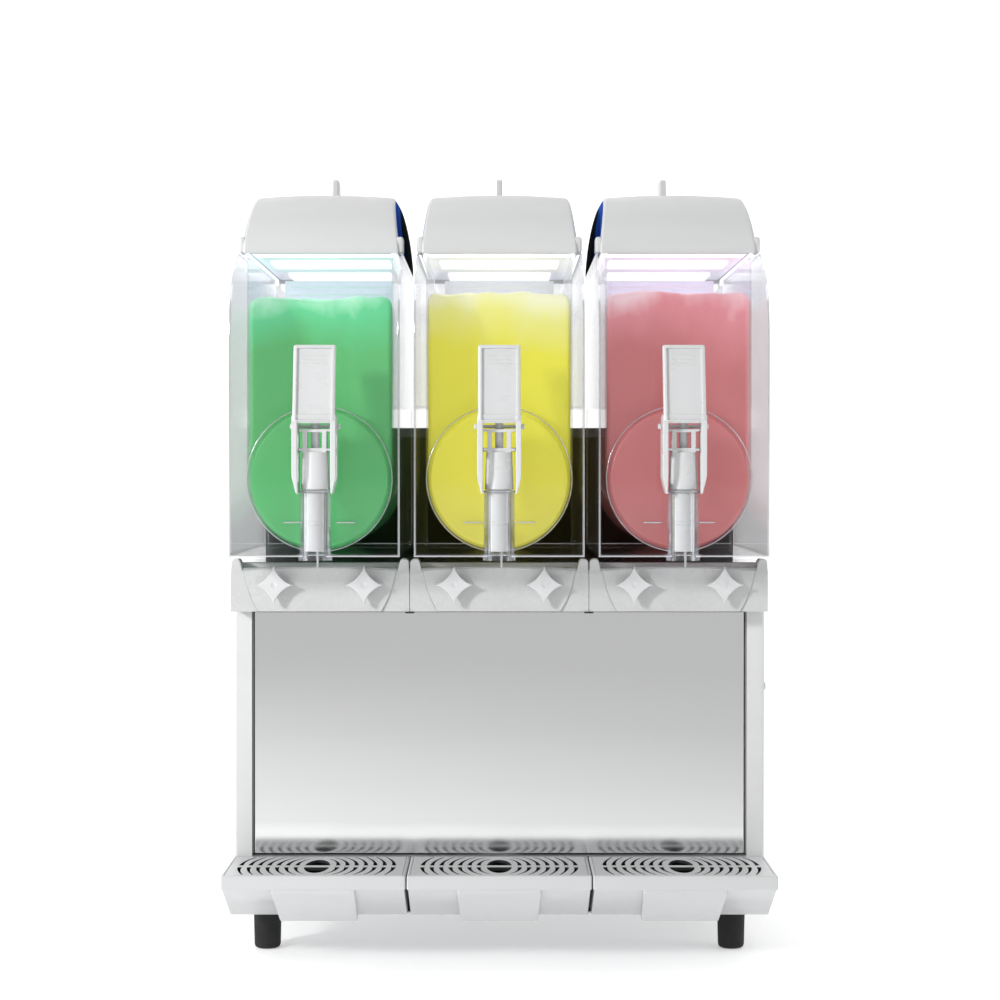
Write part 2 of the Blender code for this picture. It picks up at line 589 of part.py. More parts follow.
def leaning_slab(low, high, front, back):
    """Side view of a slab between two offsets from the pull plate's face, which leans back."""
    foot, head = (FRONT + LEVER_LEAN * (z - 0.598) / (LEVER_TOP - 0.598) for z in (low, high))
    return [(foot + front, low), (foot + back, low), (head + back, high), (head + front, high)]


def make_tap_lever(name, cx):
    """Pull plate with a raised rim, and two cheeks that straddle the tap tube."""
    centre = (cx, TAP_Y, PIVOT_Z)
    plate = leaning_slab(0.598, LEVER_TOP, 0.0, 0.009)
    lever = part(name, prism(plate, "X", cx - 0.023, cx + 0.023), WHITE_PLASTIC, centre)
    bevel(lever, 0.002, 1)
    cut(lever, prism(leaning_slab(0.6035, LEVER_TOP - 0.0035, -0.003, 0.003), "X", cx - 0.0195, cx + 0.0195))
    fuse(lever, box((cx - 0.0235, -0.2620, 0.5975), (cx + 0.0235, -0.2460, 0.6060)))
    cheek = [
        (-0.2625, 0.6050), (-0.2625, 0.5420), (-0.2560, 0.5205), (-0.2290, 0.5205), (-0.2230, 0.5300),
        (-0.2230, 0.5960), (-0.2290, 0.6040), (-0.2450, 0.6070),
    ]
    for side in (-1, 1):
        low, high = sorted((cx + side * 0.0178, cx + side * LEVER_HALF))
        fuse(lever, prism(cheek, "X", low, high))
    fuse(lever, box((cx - 0.0190, -0.2285, 0.5665), (cx + 0.0190, -0.2245, 0.5705)))
    cut(lever, cylinder(PIN_R + 0.0005, (cx - 0.04, TAP_Y, PIVOT_Z), (cx + 0.04, TAP_Y, PIVOT_Z), 12))


def make_drip_tray(name, cx):
    """Removable tray: lip, a basin whose underside falls to the rear, and the block it is pulled by."""
    centre = (cx, TRAY_BACK, TRAY_LIP)
    lip = box((cx - TRAY_HALF, FRONT, TRAY_LIP), (cx + TRAY_HALF, TRAY_BACK, TRAY_TOP))
    tray = part(name, lip, WHITE_PLASTIC, centre)
    bevel(tray, 0.0015, 1)
    seam, rear = TRAY_LIP + 0.001, TRAY_BACK - 0.003
    under = [(-0.2630, seam), (-0.2620, TRAY_LIP), (TRAY_KNEE, TRAY_LOW), (rear, TRAY_LOW), (rear, seam)]
    fuse(tray, prism(under, "X", cx - 0.0985, cx + 0.0985))
    grip = [(-0.2642, seam), (-0.2640, TRAY_LIP - 0.004), (TRAY_KNEE, GRIP_LOW)]
    grip += [(TRAY_KNEE + 0.006, GRIP_LOW), (TRAY_KNEE + 0.006, seam)]
    grip = prism(grip, "X", cx - 0.0455, cx + 0.0455)
    for vertex in grip.vertices:
        vertex.co.x = cx + (vertex.co.x - cx) * (1 - 0.05 * (seam - vertex.co.z) / (seam - GRIP_LOW))
    fuse(tray, grip)
    inner, sill, floor = TRAY_KNEE + 0.003, TRAY_LIP + 0.003, TRAY_LOW + 0.0045
    inside = [(-0.2555, 0.120), (-0.2555, sill), (inner, floor), (rear - 0.004, floor), (rear - 0.004, 0.120)]
    cut(tray, prism(inside, "X", cx - 0.0880, cx + 0.0880))
    cut(tray, box((cx - 0.0968, FRONT + 0.0032, 0.1052), (cx + 0.0968, TRAY_BACK - 0.0032, 0.120)))


def ring_slot(cx, side, reach):
    """One crescent slot, part of an oval that is longer front to back."""
    depth = 0.0560
    stretch = reach * RING_STRETCH
    limit = math.asin(min(0.93, depth / stretch))
    outer = [-limit + 2 * limit * i / 4 for i in range(5)]
    points = [(reach * math.cos(a), stretch * math.sin(a)) for a in outer]
    inner = reach - 0.0052
    points += [(inner * math.cos(a), stretch * math.sin(a) * 0.97) for a in reversed(outer[1:-1])]
    return [(cx + side * x, RING_Y + y) for x, y in points]


def make_drip_grille(name, cx):
    low, high = (cx - 0.0965, FRONT + 0.0035, 0.1055), (cx + 0.0965, TRAY_BACK - 0.0035, TRAY_TOP)
    grille = part(name, box(low, high), WHITE_PLASTIC, (cx, RING_Y, 0.1055))
    for side in (-1, 1):
        for ring in range(RING_COUNT):
            slot = ring_slot(cx, side, RING_FIRST + ring * RING_PITCH)
            cut(grille, prism(slot, "Z", 0.100, 0.115))
        drain = [(cx + side * (x + 0.0025), y) for x, y in arc(0, RING_Y, 0.0115, -90, 90, 4)]
        cut(grille, prism(drain, "Z", 0.100, 0.115))


def make_unit(number, cx):
    make_fascia(f"fascia_{number}", cx)
    make_knob(f"knob_left_{number}", cx - KNOB_X)
    make_knob(f"knob_right_{number}", cx + KNOB_X)
    make_outer_shell(f"outer_shell_{number}", cx)
    make_tank(f"tank_{number}", cx)
    make_tank_seal(f"tank_seal_{number}", cx)
    make_evaporator(f"evaporator_{number}", cx)
    make_auger(f"auger_{number}", cx)
    make_gearmotor(f"gearmotor_{number}", cx)
    make_lid(f"lid_{number}", cx)
    make_tap_piston(f"tap_piston_{number}", cx)
    make_tap_lever(f"tap_lever_{number}", cx)


make_chassis()
make_side_panel("side_panel_left", -1)
make_side_panel("side_panel_right", 1)
make_front_panel()
make_top_deck()
make_motor_cover()
make_foot("foot_front_left", -FOOT_X, FOOT_FRONT_Y)
make_foot("foot_front_right", FOOT_X, FOOT_FRONT_Y)
make_foot("foot_rear_left", -FOOT_X, FOOT_BACK_Y)
make_foot("foot_rear_right", FOOT_X, FOOT_BACK_Y)
make_compressor()
make_condenser()
make_fan_motor()
make_condenser_fan()
make_refrigerant_line()
make_control_box()
make_power_inlet()
make_power_switch()
for unit in (1, 2, 3):
    make_unit(unit, (unit - 2) * UNIT_PITCH)
    make_drip_tray(f"drip_tray_{unit}", (unit - 2) * TRAY_PITCH)
    make_drip_grille(f"drip_grille_{unit}", (unit - 2) * TRAY_PITCH)

# The lever is pinned to the piston's stem, and the grille lies in its tray.
bpy.context.view_layer.update()
for unit in (1, 2, 3):
    for child, parent in (("tap_lever", "tap_piston"), ("drip_grille", "drip_tray")):
        carried = bpy.data.objects[f"{child}_{unit}"]
        carrier = bpy.data.objects[f"{parent}_{unit}"]
        carried.parent = carrier
        carried.matrix_parent_inverse = carrier.matrix_world.inverted()
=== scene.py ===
"""Looks of the three-bowl slushie machine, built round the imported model.

Metres, +Z up, front facing -Y. Each bowl unit is the same set of pieces about its own centre line.
"""
import json
from math import asin, cos, degrees, pi, radians, sin, sqrt, tau

import bmesh
import bpy
from mathutils import Matrix, Vector, noise

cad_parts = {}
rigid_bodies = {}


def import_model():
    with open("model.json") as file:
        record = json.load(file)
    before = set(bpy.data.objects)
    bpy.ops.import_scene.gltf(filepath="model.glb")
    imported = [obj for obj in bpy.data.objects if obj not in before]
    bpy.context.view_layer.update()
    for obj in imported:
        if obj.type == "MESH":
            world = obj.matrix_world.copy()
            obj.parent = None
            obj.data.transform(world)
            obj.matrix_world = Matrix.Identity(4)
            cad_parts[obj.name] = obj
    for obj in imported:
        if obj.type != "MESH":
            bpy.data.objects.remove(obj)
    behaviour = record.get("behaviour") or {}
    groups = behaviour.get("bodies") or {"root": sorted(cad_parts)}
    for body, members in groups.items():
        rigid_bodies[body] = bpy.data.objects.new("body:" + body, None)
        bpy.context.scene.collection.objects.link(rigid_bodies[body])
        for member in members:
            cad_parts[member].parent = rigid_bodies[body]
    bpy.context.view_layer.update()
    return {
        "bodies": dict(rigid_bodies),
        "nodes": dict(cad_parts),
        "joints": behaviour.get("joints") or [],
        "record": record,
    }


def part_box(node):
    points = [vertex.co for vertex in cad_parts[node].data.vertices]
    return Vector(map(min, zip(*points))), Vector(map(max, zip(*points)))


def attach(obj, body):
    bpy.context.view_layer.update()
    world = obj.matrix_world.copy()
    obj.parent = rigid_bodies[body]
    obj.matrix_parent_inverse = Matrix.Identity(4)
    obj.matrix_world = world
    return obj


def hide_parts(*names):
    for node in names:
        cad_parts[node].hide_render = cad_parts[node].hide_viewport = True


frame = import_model()
NODES = frame["nodes"]
UNITS = (1, 2, 3)
SIDES = ((-1, "left"), (1, "right"))
ORIGIN = Vector((0.0, 0.0, 0.0))


# -------- places read from the frame
def node_middle(node):
    low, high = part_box(node)
    return (low + high) / 2


UNIT_X = {n: node_middle(f"tank_{n}").x for n in UNITS}
TRAY_X = {n: node_middle(f"drip_tray_{n}").x for n in UNITS}
TANK_LOW, TANK_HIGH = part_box("tank_2")
SHELL_LOW, SHELL_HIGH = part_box("outer_shell_2")
LID_LOW, LID_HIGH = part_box("lid_2")
DRUM_Z = node_middle("evaporator_2").z    # axis of the cold drum and the auger
PISTON_LOW, PISTON_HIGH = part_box("tap_piston_2")
TAP_Y = (PISTON_LOW.y + PISTON_HIGH.y) / 2
LEVER_LOW, LEVER_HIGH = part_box("tap_lever_2")
TRAY_LOW, TRAY_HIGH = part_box("drip_tray_2")
GRILLE_LOW, GRILLE_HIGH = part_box("drip_grille_2")
PANEL_LOW, PANEL_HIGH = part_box("front_panel")
DECK_LOW, DECK_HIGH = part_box("top_deck")
COVER_LOW, COVER_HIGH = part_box("motor_cover")


# -------- materials
NOISE_LOW, NOISE_HIGH = 0.3, 0.7    # nearly all of a noise texture's values lie between these
BRUSH_LINES = (1.5, 1.0, 260.0)    # stretches noise into fine lines along X
CLEAR_MIRROR, CLEAR_BLEND = 0.85, 0.28    # how much a clear face mirrors, and how soon it turns bright
STEEL_FOOT, STEEL_HEAD = 0.11, 0.39    # heights between which the front steel's painted floor reflection changes its tone
# painted reflection: base colour by height, lightest at the foot and darkest about halfway up
STEEL_PAINTED_REFLECTION = ((0.0, 0.82), (0.07, 0.8), (0.13, 0.64), (0.28, 0.58), (0.5, 0.53), (0.75, 0.55), (1.0, 0.6))
SLUSH_DEEP, SLUSH_PALE = DRUM_Z - 0.09, 0.752    # heights of the deepest and of the palest colour
BAND_LEAN, BAND_START, BAND_END = 0.55, 0.36, 0.6
BAND_BLUE, BAND_BRIGHT = (0.03, 0.1, 0.42), (0.045, 0.13, 0.5)
PANEL_DARK, PANEL_GREY = (0.012, 0.016, 0.03), (0.02, 0.024, 0.026)


def fill(node, **values):
    """Sets a node's inputs by name, with _ for a space."""
    for key, value in values.items():
        node.inputs[key.replace("_", " ")].default_value = value


class Shader:
    """A material being wired up, with short calls for the nodes used here."""

    def __init__(self, name):
        self.material = bpy.data.materials.new(name)
        self.material.use_nodes = True
        self.tree = self.material.node_tree
        self.bsdf = self.tree.nodes["Principled BSDF"]
        self.place = self.add("ShaderNodeTexCoord").outputs["Object"]

    def add(self, kind, **settings):
        node = self.tree.nodes.new(kind)
        for key, value in settings.items():
            setattr(node, key, value)
        return node

    def link(self, source, target):
        self.tree.links.new(source, target)

    def set(self, **values):
        fill(self.bsdf, **values)

    def noise(self, scale, detail=3.0, stretch=None, roughness=0.5):
        node = self.add("ShaderNodeTexNoise")
        fill(node, Scale=scale, Detail=detail, Roughness=roughness)
        source = self.place
        if stretch:
            mapping = self.add("ShaderNodeMapping")
            fill(mapping, Scale=stretch)
            self.link(self.place, mapping.inputs["Vector"])
            source = mapping.outputs["Vector"]
        self.link(source, node.inputs["Vector"])
        return node.outputs["Fac"]

    def remap(self, source, low, high, from_low=NOISE_LOW, from_high=NOISE_HIGH):
        node = self.add("ShaderNodeMapRange")
        fill(node, From_Min=from_low, From_Max=from_high, To_Min=low, To_Max=high)
        self.link(source, node.inputs["Value"])
        return node.outputs["Result"]

    def ramp(self, source, stops):
        node = self.add("ShaderNodeValToRGB")
        ramp = node.color_ramp
        while len(ramp.elements) < len(stops):
            ramp.elements.new(0.5)
        for element, (position, color) in zip(ramp.elements, stops):
            element.position = position
            element.color = (*color, 1.0)
        self.link(source, node.inputs["Fac"])
        return node.outputs["Color"]

    def axis(self, letter):
        node = self.add("ShaderNodeSeparateXYZ")
        self.link(self.place, node.inputs["Vector"])
        return node.outputs[letter]

    def math(self, operation, first, second):
        node = self.add("ShaderNodeMath", operation=operation)
        for socket, value in zip(node.inputs, (first, second)):
            if isinstance(value, (int, float)):
                socket.default_value = value
            else:
                self.link(value, socket)
        return node.outputs["Value"]

    def bump(self, source, strength, distance):
        node = self.add("ShaderNodeBump")
        fill(node, Strength=strength, Distance=distance)
        self.link(source, node.inputs["Height"])
        self.link(node.outputs["Normal"], self.bsdf.inputs["Normal"])

    def color(self, source):
        self.link(source, self.bsdf.inputs["Base Color"])

    def tint(self, source, low, high):
        self.color(self.ramp(source, [(NOISE_LOW, low), (NOISE_HIGH, high)]))

    def rough(self, source):
        self.link(source, self.bsdf.inputs["Roughness"])


def shaded(color, factor):
    return tuple(min(1.0, channel * factor) for channel in color)


def moulded(name, color, roughness=0.35, grain=900.0, depth=0.00004, mottle=0.006):
    """Moulded plastic or paint: fine grain, slight mottling and uneven gloss."""
    s = Shader(name)
    cloud = s.noise(14.0, 4.0)
    s.tint(cloud, shaded(color, 1 - mottle), shaded(color, 1 + mottle))
    s.rough(s.remap(s.noise(45.0, 3.0), roughness - 0.05, roughness + 0.07))
    s.bump(s.noise(grain, 2.0), 0.35, depth)
    return s.material


def clear_plastic(name, tint, face, edge, roughness=0.04):
    """Clear polycarbonate: see-through when faced, bright where it is seen at a low angle."""
    s = Shader(name)
    s.set(Metallic=CLEAR_MIRROR, IOR=1.49)
    weight = s.add("ShaderNodeLayerWeight")
    fill(weight, Blend=CLEAR_BLEND)
    s.link(s.remap(weight.outputs["Fresnel"], face, edge, 0.0, 1.0), s.bsdf.inputs["Alpha"])
    haze = s.noise(9.0, 3.0, (1.0, 1.0, 0.3))
    s.tint(haze, shaded(tint, 0.97), tint)
    s.rough(s.remap(s.noise(30.0), roughness, roughness + 0.04))
    s.bump(s.noise(22.0, 2.0), 0.1, 0.0004)
    return s.material


def metal(name, color, roughness, grain, spread):
    """Bare metal with a cloudy sheen and an even grain."""
    s = Shader(name)
    s.set(Metallic=1.0, Anisotropic=0.25)
    lines = s.noise(14.0, 6.0, grain, 0.65)
    cloud = s.noise(3.0, 3.0)
    s.color(s.ramp(s.math("MULTIPLY", s.math("ADD", lines, cloud), 0.5),
                   [(0.35, shaded(color, 0.95)), (0.65, shaded(color, 1.04))]))
    s.rough(s.remap(lines, roughness - spread / 2, roughness + spread))
    s.bump(lines, 0.06, 0.00008)
    return s.material


def front_steel(name):
    """Bright brushed steel, painted with a slightly brighter band along its foot that stands for the
    reflection of the bright floor.
    """
    s = Shader(name)
    s.set(Metallic=1.0, Anisotropic=0.25)
    lines = s.noise(14.0, 6.0, BRUSH_LINES, 0.65)
    drift = s.math("MULTIPLY", s.math("SUBTRACT", s.noise(3.0, 3.0), 0.5), 0.02)
    height = s.remap(s.math("ADD", s.axis("Z"), drift), 0.0, 1.0, STEEL_FOOT, STEEL_HEAD)
    # painted reflection: the base colour is lighter at the foot, as if mirroring the bright floor, and darker
    # higher up
    s.color(s.ramp(height, [(place, (level, level * 1.005, level * 1.01)) for place, level in STEEL_PAINTED_REFLECTION]))
    s.rough(s.remap(lines, 0.105, 0.15))
    s.bump(lines, 0.06, 0.00008)
    return s.material


def slush(name, pale, top, middle, low):
    """Half-frozen drink: paler at the top, streaked by the auger, with fine crystals, and a painted glow as
    if lit from within.
    """
    s = Shader(name)
    height = s.axis("Z")
    streaks = s.noise(16.0, 4.0, (1.0, 1.0, 0.55))
    lift = s.math("MULTIPLY", s.math("SUBTRACT", streaks, 0.5), 0.1)
    level = s.remap(s.math("ADD", height, lift), 0.0, 1.0, SLUSH_DEEP, SLUSH_PALE)
    tone = s.ramp(level, [(0.0, low), (0.45, middle), (0.76, middle), (0.9, top), (0.985, pale)])
    s.color(tone)
    # painted glow: the drink's own colour also drives emission, standing in for the lid's light shining
    # through it
    s.link(tone, s.bsdf.inputs["Emission Color"])
    s.set(Emission_Strength=0.34, Coat_Weight=0.25, Coat_Roughness=0.12)
    s.rough(s.remap(s.noise(60.0, 4.0), 0.3, 0.52))
    s.bump(s.noise(240.0, 5.0, None, 0.7), 0.3, 0.0006)
    return s.material


def lit(name, color, strength):
    """Diffuser that glows evenly."""
    s = Shader(name)
    cells = s.noise(120.0, 1.0)
    s.tint(cells, shaded(color, 0.94), color)
    s.set(Roughness=0.5, Emission_Color=(*color, 1.0), Emission_Strength=strength)
    return s.material


def side_graphic(name):
    """Dark side panel with one plain blue band that runs down along the front of the lid."""
    s = Shader(name)
    along = s.math("ADD", s.axis("Y"), s.math("MULTIPLY", s.axis("Z"), BAND_LEAN))
    ripple = s.math("MULTIPLY", s.math("SUBTRACT", s.noise(18.0, 2.0), 0.5), 0.015)
    band = s.remap(s.math("ADD", along, ripple), 0.0, 1.0, BAND_START, BAND_END)
    s.color(s.ramp(band, [(0.0, BAND_BLUE), (0.42, BAND_BRIGHT), (0.55, PANEL_DARK), (1.0, PANEL_GREY)]))
    s.set(Specular_IOR_Level=0.0)
    s.rough(s.remap(s.noise(40.0), 0.55, 0.65))
    s.bump(s.noise(700.0), 0.15, 0.00003)
    return s.material


WHITE = moulded("white_plastic", (0.64, 0.645, 0.65), 0.3)
FASCIA_WHITE = moulded("fascia_plastic", (0.555, 0.56, 0.56), 0.26)
TRAY_WHITE = moulded("tray_plastic", (0.6, 0.61, 0.615), 0.33)
PAINT = moulded("white_powder_coat", (0.66, 0.665, 0.665), 0.42, 520.0, 0.00009, 0.02)
LID_GREY = moulded("lid_plastic", (0.6, 0.605, 0.605), 0.38)
SEAM = moulded("seam_grey", (0.2, 0.2, 0.205), 0.45)
# real black plastic, also used as painted shade inside the tray and on the grille's slot walls
BLACK_AND_SHADE = moulded("black_plastic", (0.022, 0.023, 0.024), 0.45, 700.0, 0.00008, 0.15)
HOUSING = moulded("housing_plastic", (0.04, 0.041, 0.043), 0.5, 700.0, 0.00008, 0.15)
RUBBER = moulded("black_rubber", (0.006, 0.006, 0.007), 0.75, 420.0, 0.00012, 0.2)
SILICONE = moulded("white_silicone", (0.7, 0.71, 0.72), 0.55)
ENAMEL = moulded("black_enamel", (0.02, 0.02, 0.021), 0.35, 260.0, 0.0001, 0.12)
CLEAR = clear_plastic("clear_polycarbonate", (0.84, 0.86, 0.9), 0.02, 0.66)
# painted highlight: a brighter, more opaque clear plastic for cut edges and thin bright lines
CLEAR_HIGHLIGHT = clear_plastic("clear_highlight", (0.93, 0.94, 0.98), 0.6, 0.95, 0.08)
STEEL = front_steel("brushed_steel")
POLISHED = metal("polished_steel", (0.52, 0.53, 0.54), 0.12, (1.2, 1.2, 1.2), 0.04)
ZINC = metal("zinc_plate", (0.5, 0.51, 0.52), 0.38, (6.0, 6.0, 6.0), 0.12)
COPPER = metal("copper_tube", (0.74, 0.38, 0.24), 0.28, (8.0, 8.0, 8.0), 0.1)
GLOW = lit("led_diffuser", (0.92, 0.93, 0.98), 0.75)
TOWER = lit("tower_diffuser", (0.74, 0.75, 0.84), 0.34)
GRAPHIC = side_graphic("lid_side_graphic")
SLUSH = {
    1: slush("slush_green", (0.48, 0.84, 0.62), (0.12, 0.6, 0.28), (0.11, 0.48, 0.16), (0.06, 0.48, 0.13)),
    2: slush("slush_yellow", (0.88, 0.88, 0.6), (0.82, 0.81, 0.25), (0.83, 0.79, 0.06), (0.77, 0.71, 0.05)),
    3: slush("slush_pink", (0.88, 0.62, 0.66), (0.72, 0.27, 0.31), (0.59, 0.19, 0.195), (0.52, 0.125, 0.125)),
}


# -------- mesh helpers
def to_mesh(bm):
    bmesh.ops.recalc_face_normals(bm, faces=bm.faces)
    mesh = bpy.data.meshes.new("piece")
    bm.to_mesh(mesh)
    bm.free()
    return mesh


def box(low, high):
    low, high = Vector(low), Vector(high)
    bm = bmesh.new()
    place = Matrix.Translation((low + high) / 2) @ Matrix.Diagonal((*(high - low), 1.0))
    bmesh.ops.create_cube(bm, size=1.0, matrix=place)
    return to_mesh(bm)


def facing(axis):
    """The turn that takes +Z to axis."""
    return Vector((0, 0, 1)).rotation_difference(Vector(axis)).to_matrix().to_4x4()


def cylinder(radius, start, end, segments=48):
    start, end = Vector(start), Vector(end)
    along = end - start
    bm = bmesh.new()
    bmesh.ops.create_cone(bm, cap_ends=True, segments=segments, radius1=radius, radius2=radius,
                          depth=along.length, matrix=Matrix.Translation((start + end) / 2) @ facing(along))
    return to_mesh(bm)


AXES = {
    "X": lambda u, v, h: (h, u, v),
    "Y": lambda u, v, h: (u, h, v),
    "Z": lambda u, v, h: (u, v, h),
}


def bridge(bm, rings):
    """Faces between neighbouring rings of vertices, and one at each end."""
    for first, second in zip(rings, rings[1:]):
        for i in range(len(first)):
            j = (i + 1) % len(first)
            bm.faces.new((first[i], first[j], second[j], second[i]))
    bm.faces.new(rings[0])
    bm.faces.new(rings[-1])


def prism(outline, axis, *stations):
    """A closed outline in the two other axes, in X, Y, Z order, carried through stations along axis."""
    bm = bmesh.new()
    bridge(bm, [[bm.verts.new(AXES[axis](u, v, h)) for u, v in outline] for h in stations])
    return to_mesh(bm)


def lathe(profile, centre, axis="Z", segments=64, closed=False):
    """(radius, height) points turned about an axis through centre; ends on the axis close it."""
    bm = bmesh.new()
    verts = [bm.verts.new((radius, 0.0, height)) for radius, height in profile]
    pairs = list(zip(verts, verts[1:]))
    if closed:
        pairs.append((verts[-1], verts[0]))
    edges = [bm.edges.new(pair) for pair in pairs]
    bmesh.ops.spin(bm, geom=verts + edges, cent=(0, 0, 0), axis=(0, 0, 1), angle=tau, steps=segments,
                   use_merge=True, use_duplicate=False)
    bmesh.ops.remove_doubles(bm, verts=bm.verts, dist=0.000005)
    mesh = to_mesh(bm)
    if axis == "Y":
        mesh.transform(Matrix.Rotation(-pi / 2, 4, "X"))
    mesh.transform(Matrix.Translation(centre))
    return mesh


def joined(*meshes):
    """Several closed meshes as one, for use as a single cutter."""
    bm = bmesh.new()
    for mesh in meshes:
        bm.from_mesh(mesh)
    mesh = bpy.data.meshes.new("cutters")
    bm.to_mesh(mesh)
    bm.free()
    return mesh


def arc(u, v, radius, first, last, steps):
    angles = [radians(first + (last - first) * i / steps) for i in range(steps + 1)]
    return [(u + radius * cos(a), v + radius * sin(a)) for a in angles]


def bezier(p0, p1, p2, p3, steps):
    points = []
    for i in range(steps + 1):
        t = i / steps
        weights = ((1 - t) ** 3, 3 * t * (1 - t) ** 2, 3 * t * t * (1 - t), t ** 3)
        points.append(tuple(sum(w * p[k] for w, p in zip(weights, (p0, p1, p2, p3))) for k in (0, 1)))
    return points


def across(cx, side, near, far):
    """The x values at two distances from a centre line, on one side of it, lower one first."""
    return sorted((cx + side * near, cx + side * far))


def shifted(mesh, x):
    mesh.transform(Matrix.Translation((x, 0, 0)))
    return mesh


def linked(name, data):
    obj = bpy.data.objects.new(name, data)
    bpy.context.scene.collection.objects.link(obj)
    return obj


def evaluated(obj):
    """The object's mesh after its modifiers."""
    return bpy.data.meshes.new_from_object(obj.evaluated_get(bpy.context.evaluated_depsgraph_get()))


def shaped(mesh, cuts=(), joins=(), bevel=0.0, segments=3, angle=35):
    """The mesh after its joins, cuts and edge rounding."""
    obj = linked("shaping", mesh)
    tools = []
    for operation, others in (("UNION", joins), ("DIFFERENCE", cuts)):
        for other in others:
            tool = linked("tool", other)
            modifier = obj.modifiers.new(operation, "BOOLEAN")
            modifier.operation = operation
            modifier.solver = "EXACT"
            modifier.object = tool
            tools.append(tool)
    if bevel:
        modifier = obj.modifiers.new("bevel", "BEVEL")
        modifier.width = bevel
        modifier.segments = segments
        modifier.limit_method = "ANGLE"
        modifier.angle_limit = radians(angle)
        modifier.use_clamp_overlap = True
    result = evaluated(obj)
    for tool in tools + [obj]:
        bpy.data.objects.remove(tool, do_unlink=True)
    return result


def slab(low, high, bevel, segments=3):
    """A box between two corners, with rounded edges."""
    return shaped(box(low, high), bevel=bevel, segments=segments)


def block(cx, half, depth, height, bevel, segments=3):
    """A slab centred on cx, between two depths and two heights."""
    return slab((cx - half, depth[0], height[0]), (cx + half, depth[1], height[1]), bevel, segments)


def smoothed(mesh, angle):
    """Smooth shading weighted by face area, so that flat faces stay flat next to rounded edges."""
    mesh.shade_smooth()
    mesh.set_sharp_from_angle(angle=radians(angle))
    obj = linked("smoothing", mesh)
    modifier = obj.modifiers.new("weights", "WEIGHTED_NORMAL")
    modifier.keep_sharp = True
    result = evaluated(obj)
    bpy.data.objects.remove(obj, do_unlink=True)
    return result


def piece(name, mesh, material, body="root", replaces=(), smooth=32):
    """Puts a finished mesh in the scene: smooth shading, material and body, and hides the CAD parts it
    replaces.
    """
    materials = material if isinstance(material, (list, tuple)) else [material]
    mesh = smoothed(mesh, smooth)
    mesh.materials.clear()
    for each in materials:
        mesh.materials.append(each)
    obj = linked(name, mesh)
    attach(obj, body)
    if replaces:
        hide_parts(*replaces)
    return obj


# -------- lid
LID_HALF_LOW, LID_HALF_TOP, LID_WALL = 0.0885, 0.0795, 0.0025
LID_CROWN = 0.0035    # how far the crown's sides lie below its middle
LID_RIM, LID_FRONT, LID_BACK = LID_LOW.z, LID_LOW.y, LID_HIGH.y
LID_FACE, LID_TOP = LID_RIM + 0.008, 0.8664
LID_CREST, LID_FALL = -0.05, 0.25    # depth of the highest line, and the length over which the rear widens
LID_STATIONS = [-1.0 + i / 6 for i in range(13)]
RIM_HALF = (LID_HIGH.x - LID_LOW.x) / 2
FIN_HALF, FIN_SHOULDER = 0.0035, 0.8985
TAB_INNER, TAB_BACK, TAB_HEIGHT = 0.084, -0.13, 0.019
LIP_HALF = 0.079
PRINT_DEPTH, PRINT_INNER = 0.0003, 0.07
SIDE_FACING, SIDE_FACE_AREA = 0.85, 0.0008    # a face of the lid's side faces outwards and isn't small
PLATE_HALF, PLATE_BACK = 0.0846, 0.255
STRIP_INNER, STRIP_OUTER, STRIP_FRONT, STRIP_BACK = 0.0826, 0.0856, -0.148, 0.22
LOUVRES = (    # front, back and half width of each lit bar under the lid
    (-0.15, -0.098, 0.079),
    (-0.018, 0.05, 0.07),
    (0.15, 0.238, 0.064),
)


def lid_side(inset=0.0):
    """Side view of the lid: up the leaning front, over the crown and down the long fall to the rear."""
    front, back, top = LID_FRONT + inset, LID_BACK - inset, LID_TOP - inset
    below = LID_RIM - 0.02
    rise = bezier((front, LID_FACE), (front + 0.008, 0.827 - inset), (-0.113, top - 0.0035),
                  (LID_CREST, top), 14)
    fall = bezier((0.01, top), (0.1, top), (0.19, 0.842 - inset), (back, 0.809 - inset), 12)
    return [(front, below)] + rise + fall + [(back, below)]


def lid_half(y, z):
    """Half the lid's width at a place on it: narrower upwards, but less so towards the rear."""
    share = min(1.0, max(0.0, (z - LID_RIM) / (LID_TOP - LID_RIM)))
    rearward = min(1.0, max(0.0, (y - LID_CREST) / LID_FALL))
    return LID_HALF_LOW - (LID_HALF_LOW - LID_HALF_TOP) * share * (1 - 0.7 * rearward)


def drawn_in(mesh, cx, inset=0.0):
    """Tapers a unit-wide prism to the lid's width and drops its sides for the crown."""
    for vertex in mesh.vertices:
        share = vertex.co.x
        vertex.co.x = cx + share * (lid_half(vertex.co.y, vertex.co.z) - inset)
        lift = max(0.0, (vertex.co.z - LID_FACE) / (LID_TOP - LID_FACE))
        vertex.co.z -= LID_CROWN * share * share * min(1.0, lift)
    return mesh


def lid_skin(cx):
    """Thin cover, hollow and open below, with a tab at each front corner."""
    skin = drawn_in(prism(lid_side(), "X", *LID_STATIONS), cx)
    skin = shaped(skin, bevel=0.0034, segments=4, angle=50)
    hollow = drawn_in(prism(lid_side(LID_WALL), "X", *LID_STATIONS), cx, LID_WALL)
    below = box((cx - 0.12, -0.2, LID_RIM - 0.06), (cx + 0.12, 0.3, LID_RIM))
    skin = shaped(skin, cuts=(hollow, below))
    tabs = []
    for side, _ in SIDES:
        low, high = across(cx, side, TAB_INNER, RIM_HALF)
        tabs.append(slab((low, LID_FRONT + 0.003, LID_RIM + 0.0004),
                         (high, TAB_BACK, LID_RIM + TAB_HEIGHT), bevel=0.0032))
    return shaped(skin, joins=tabs)


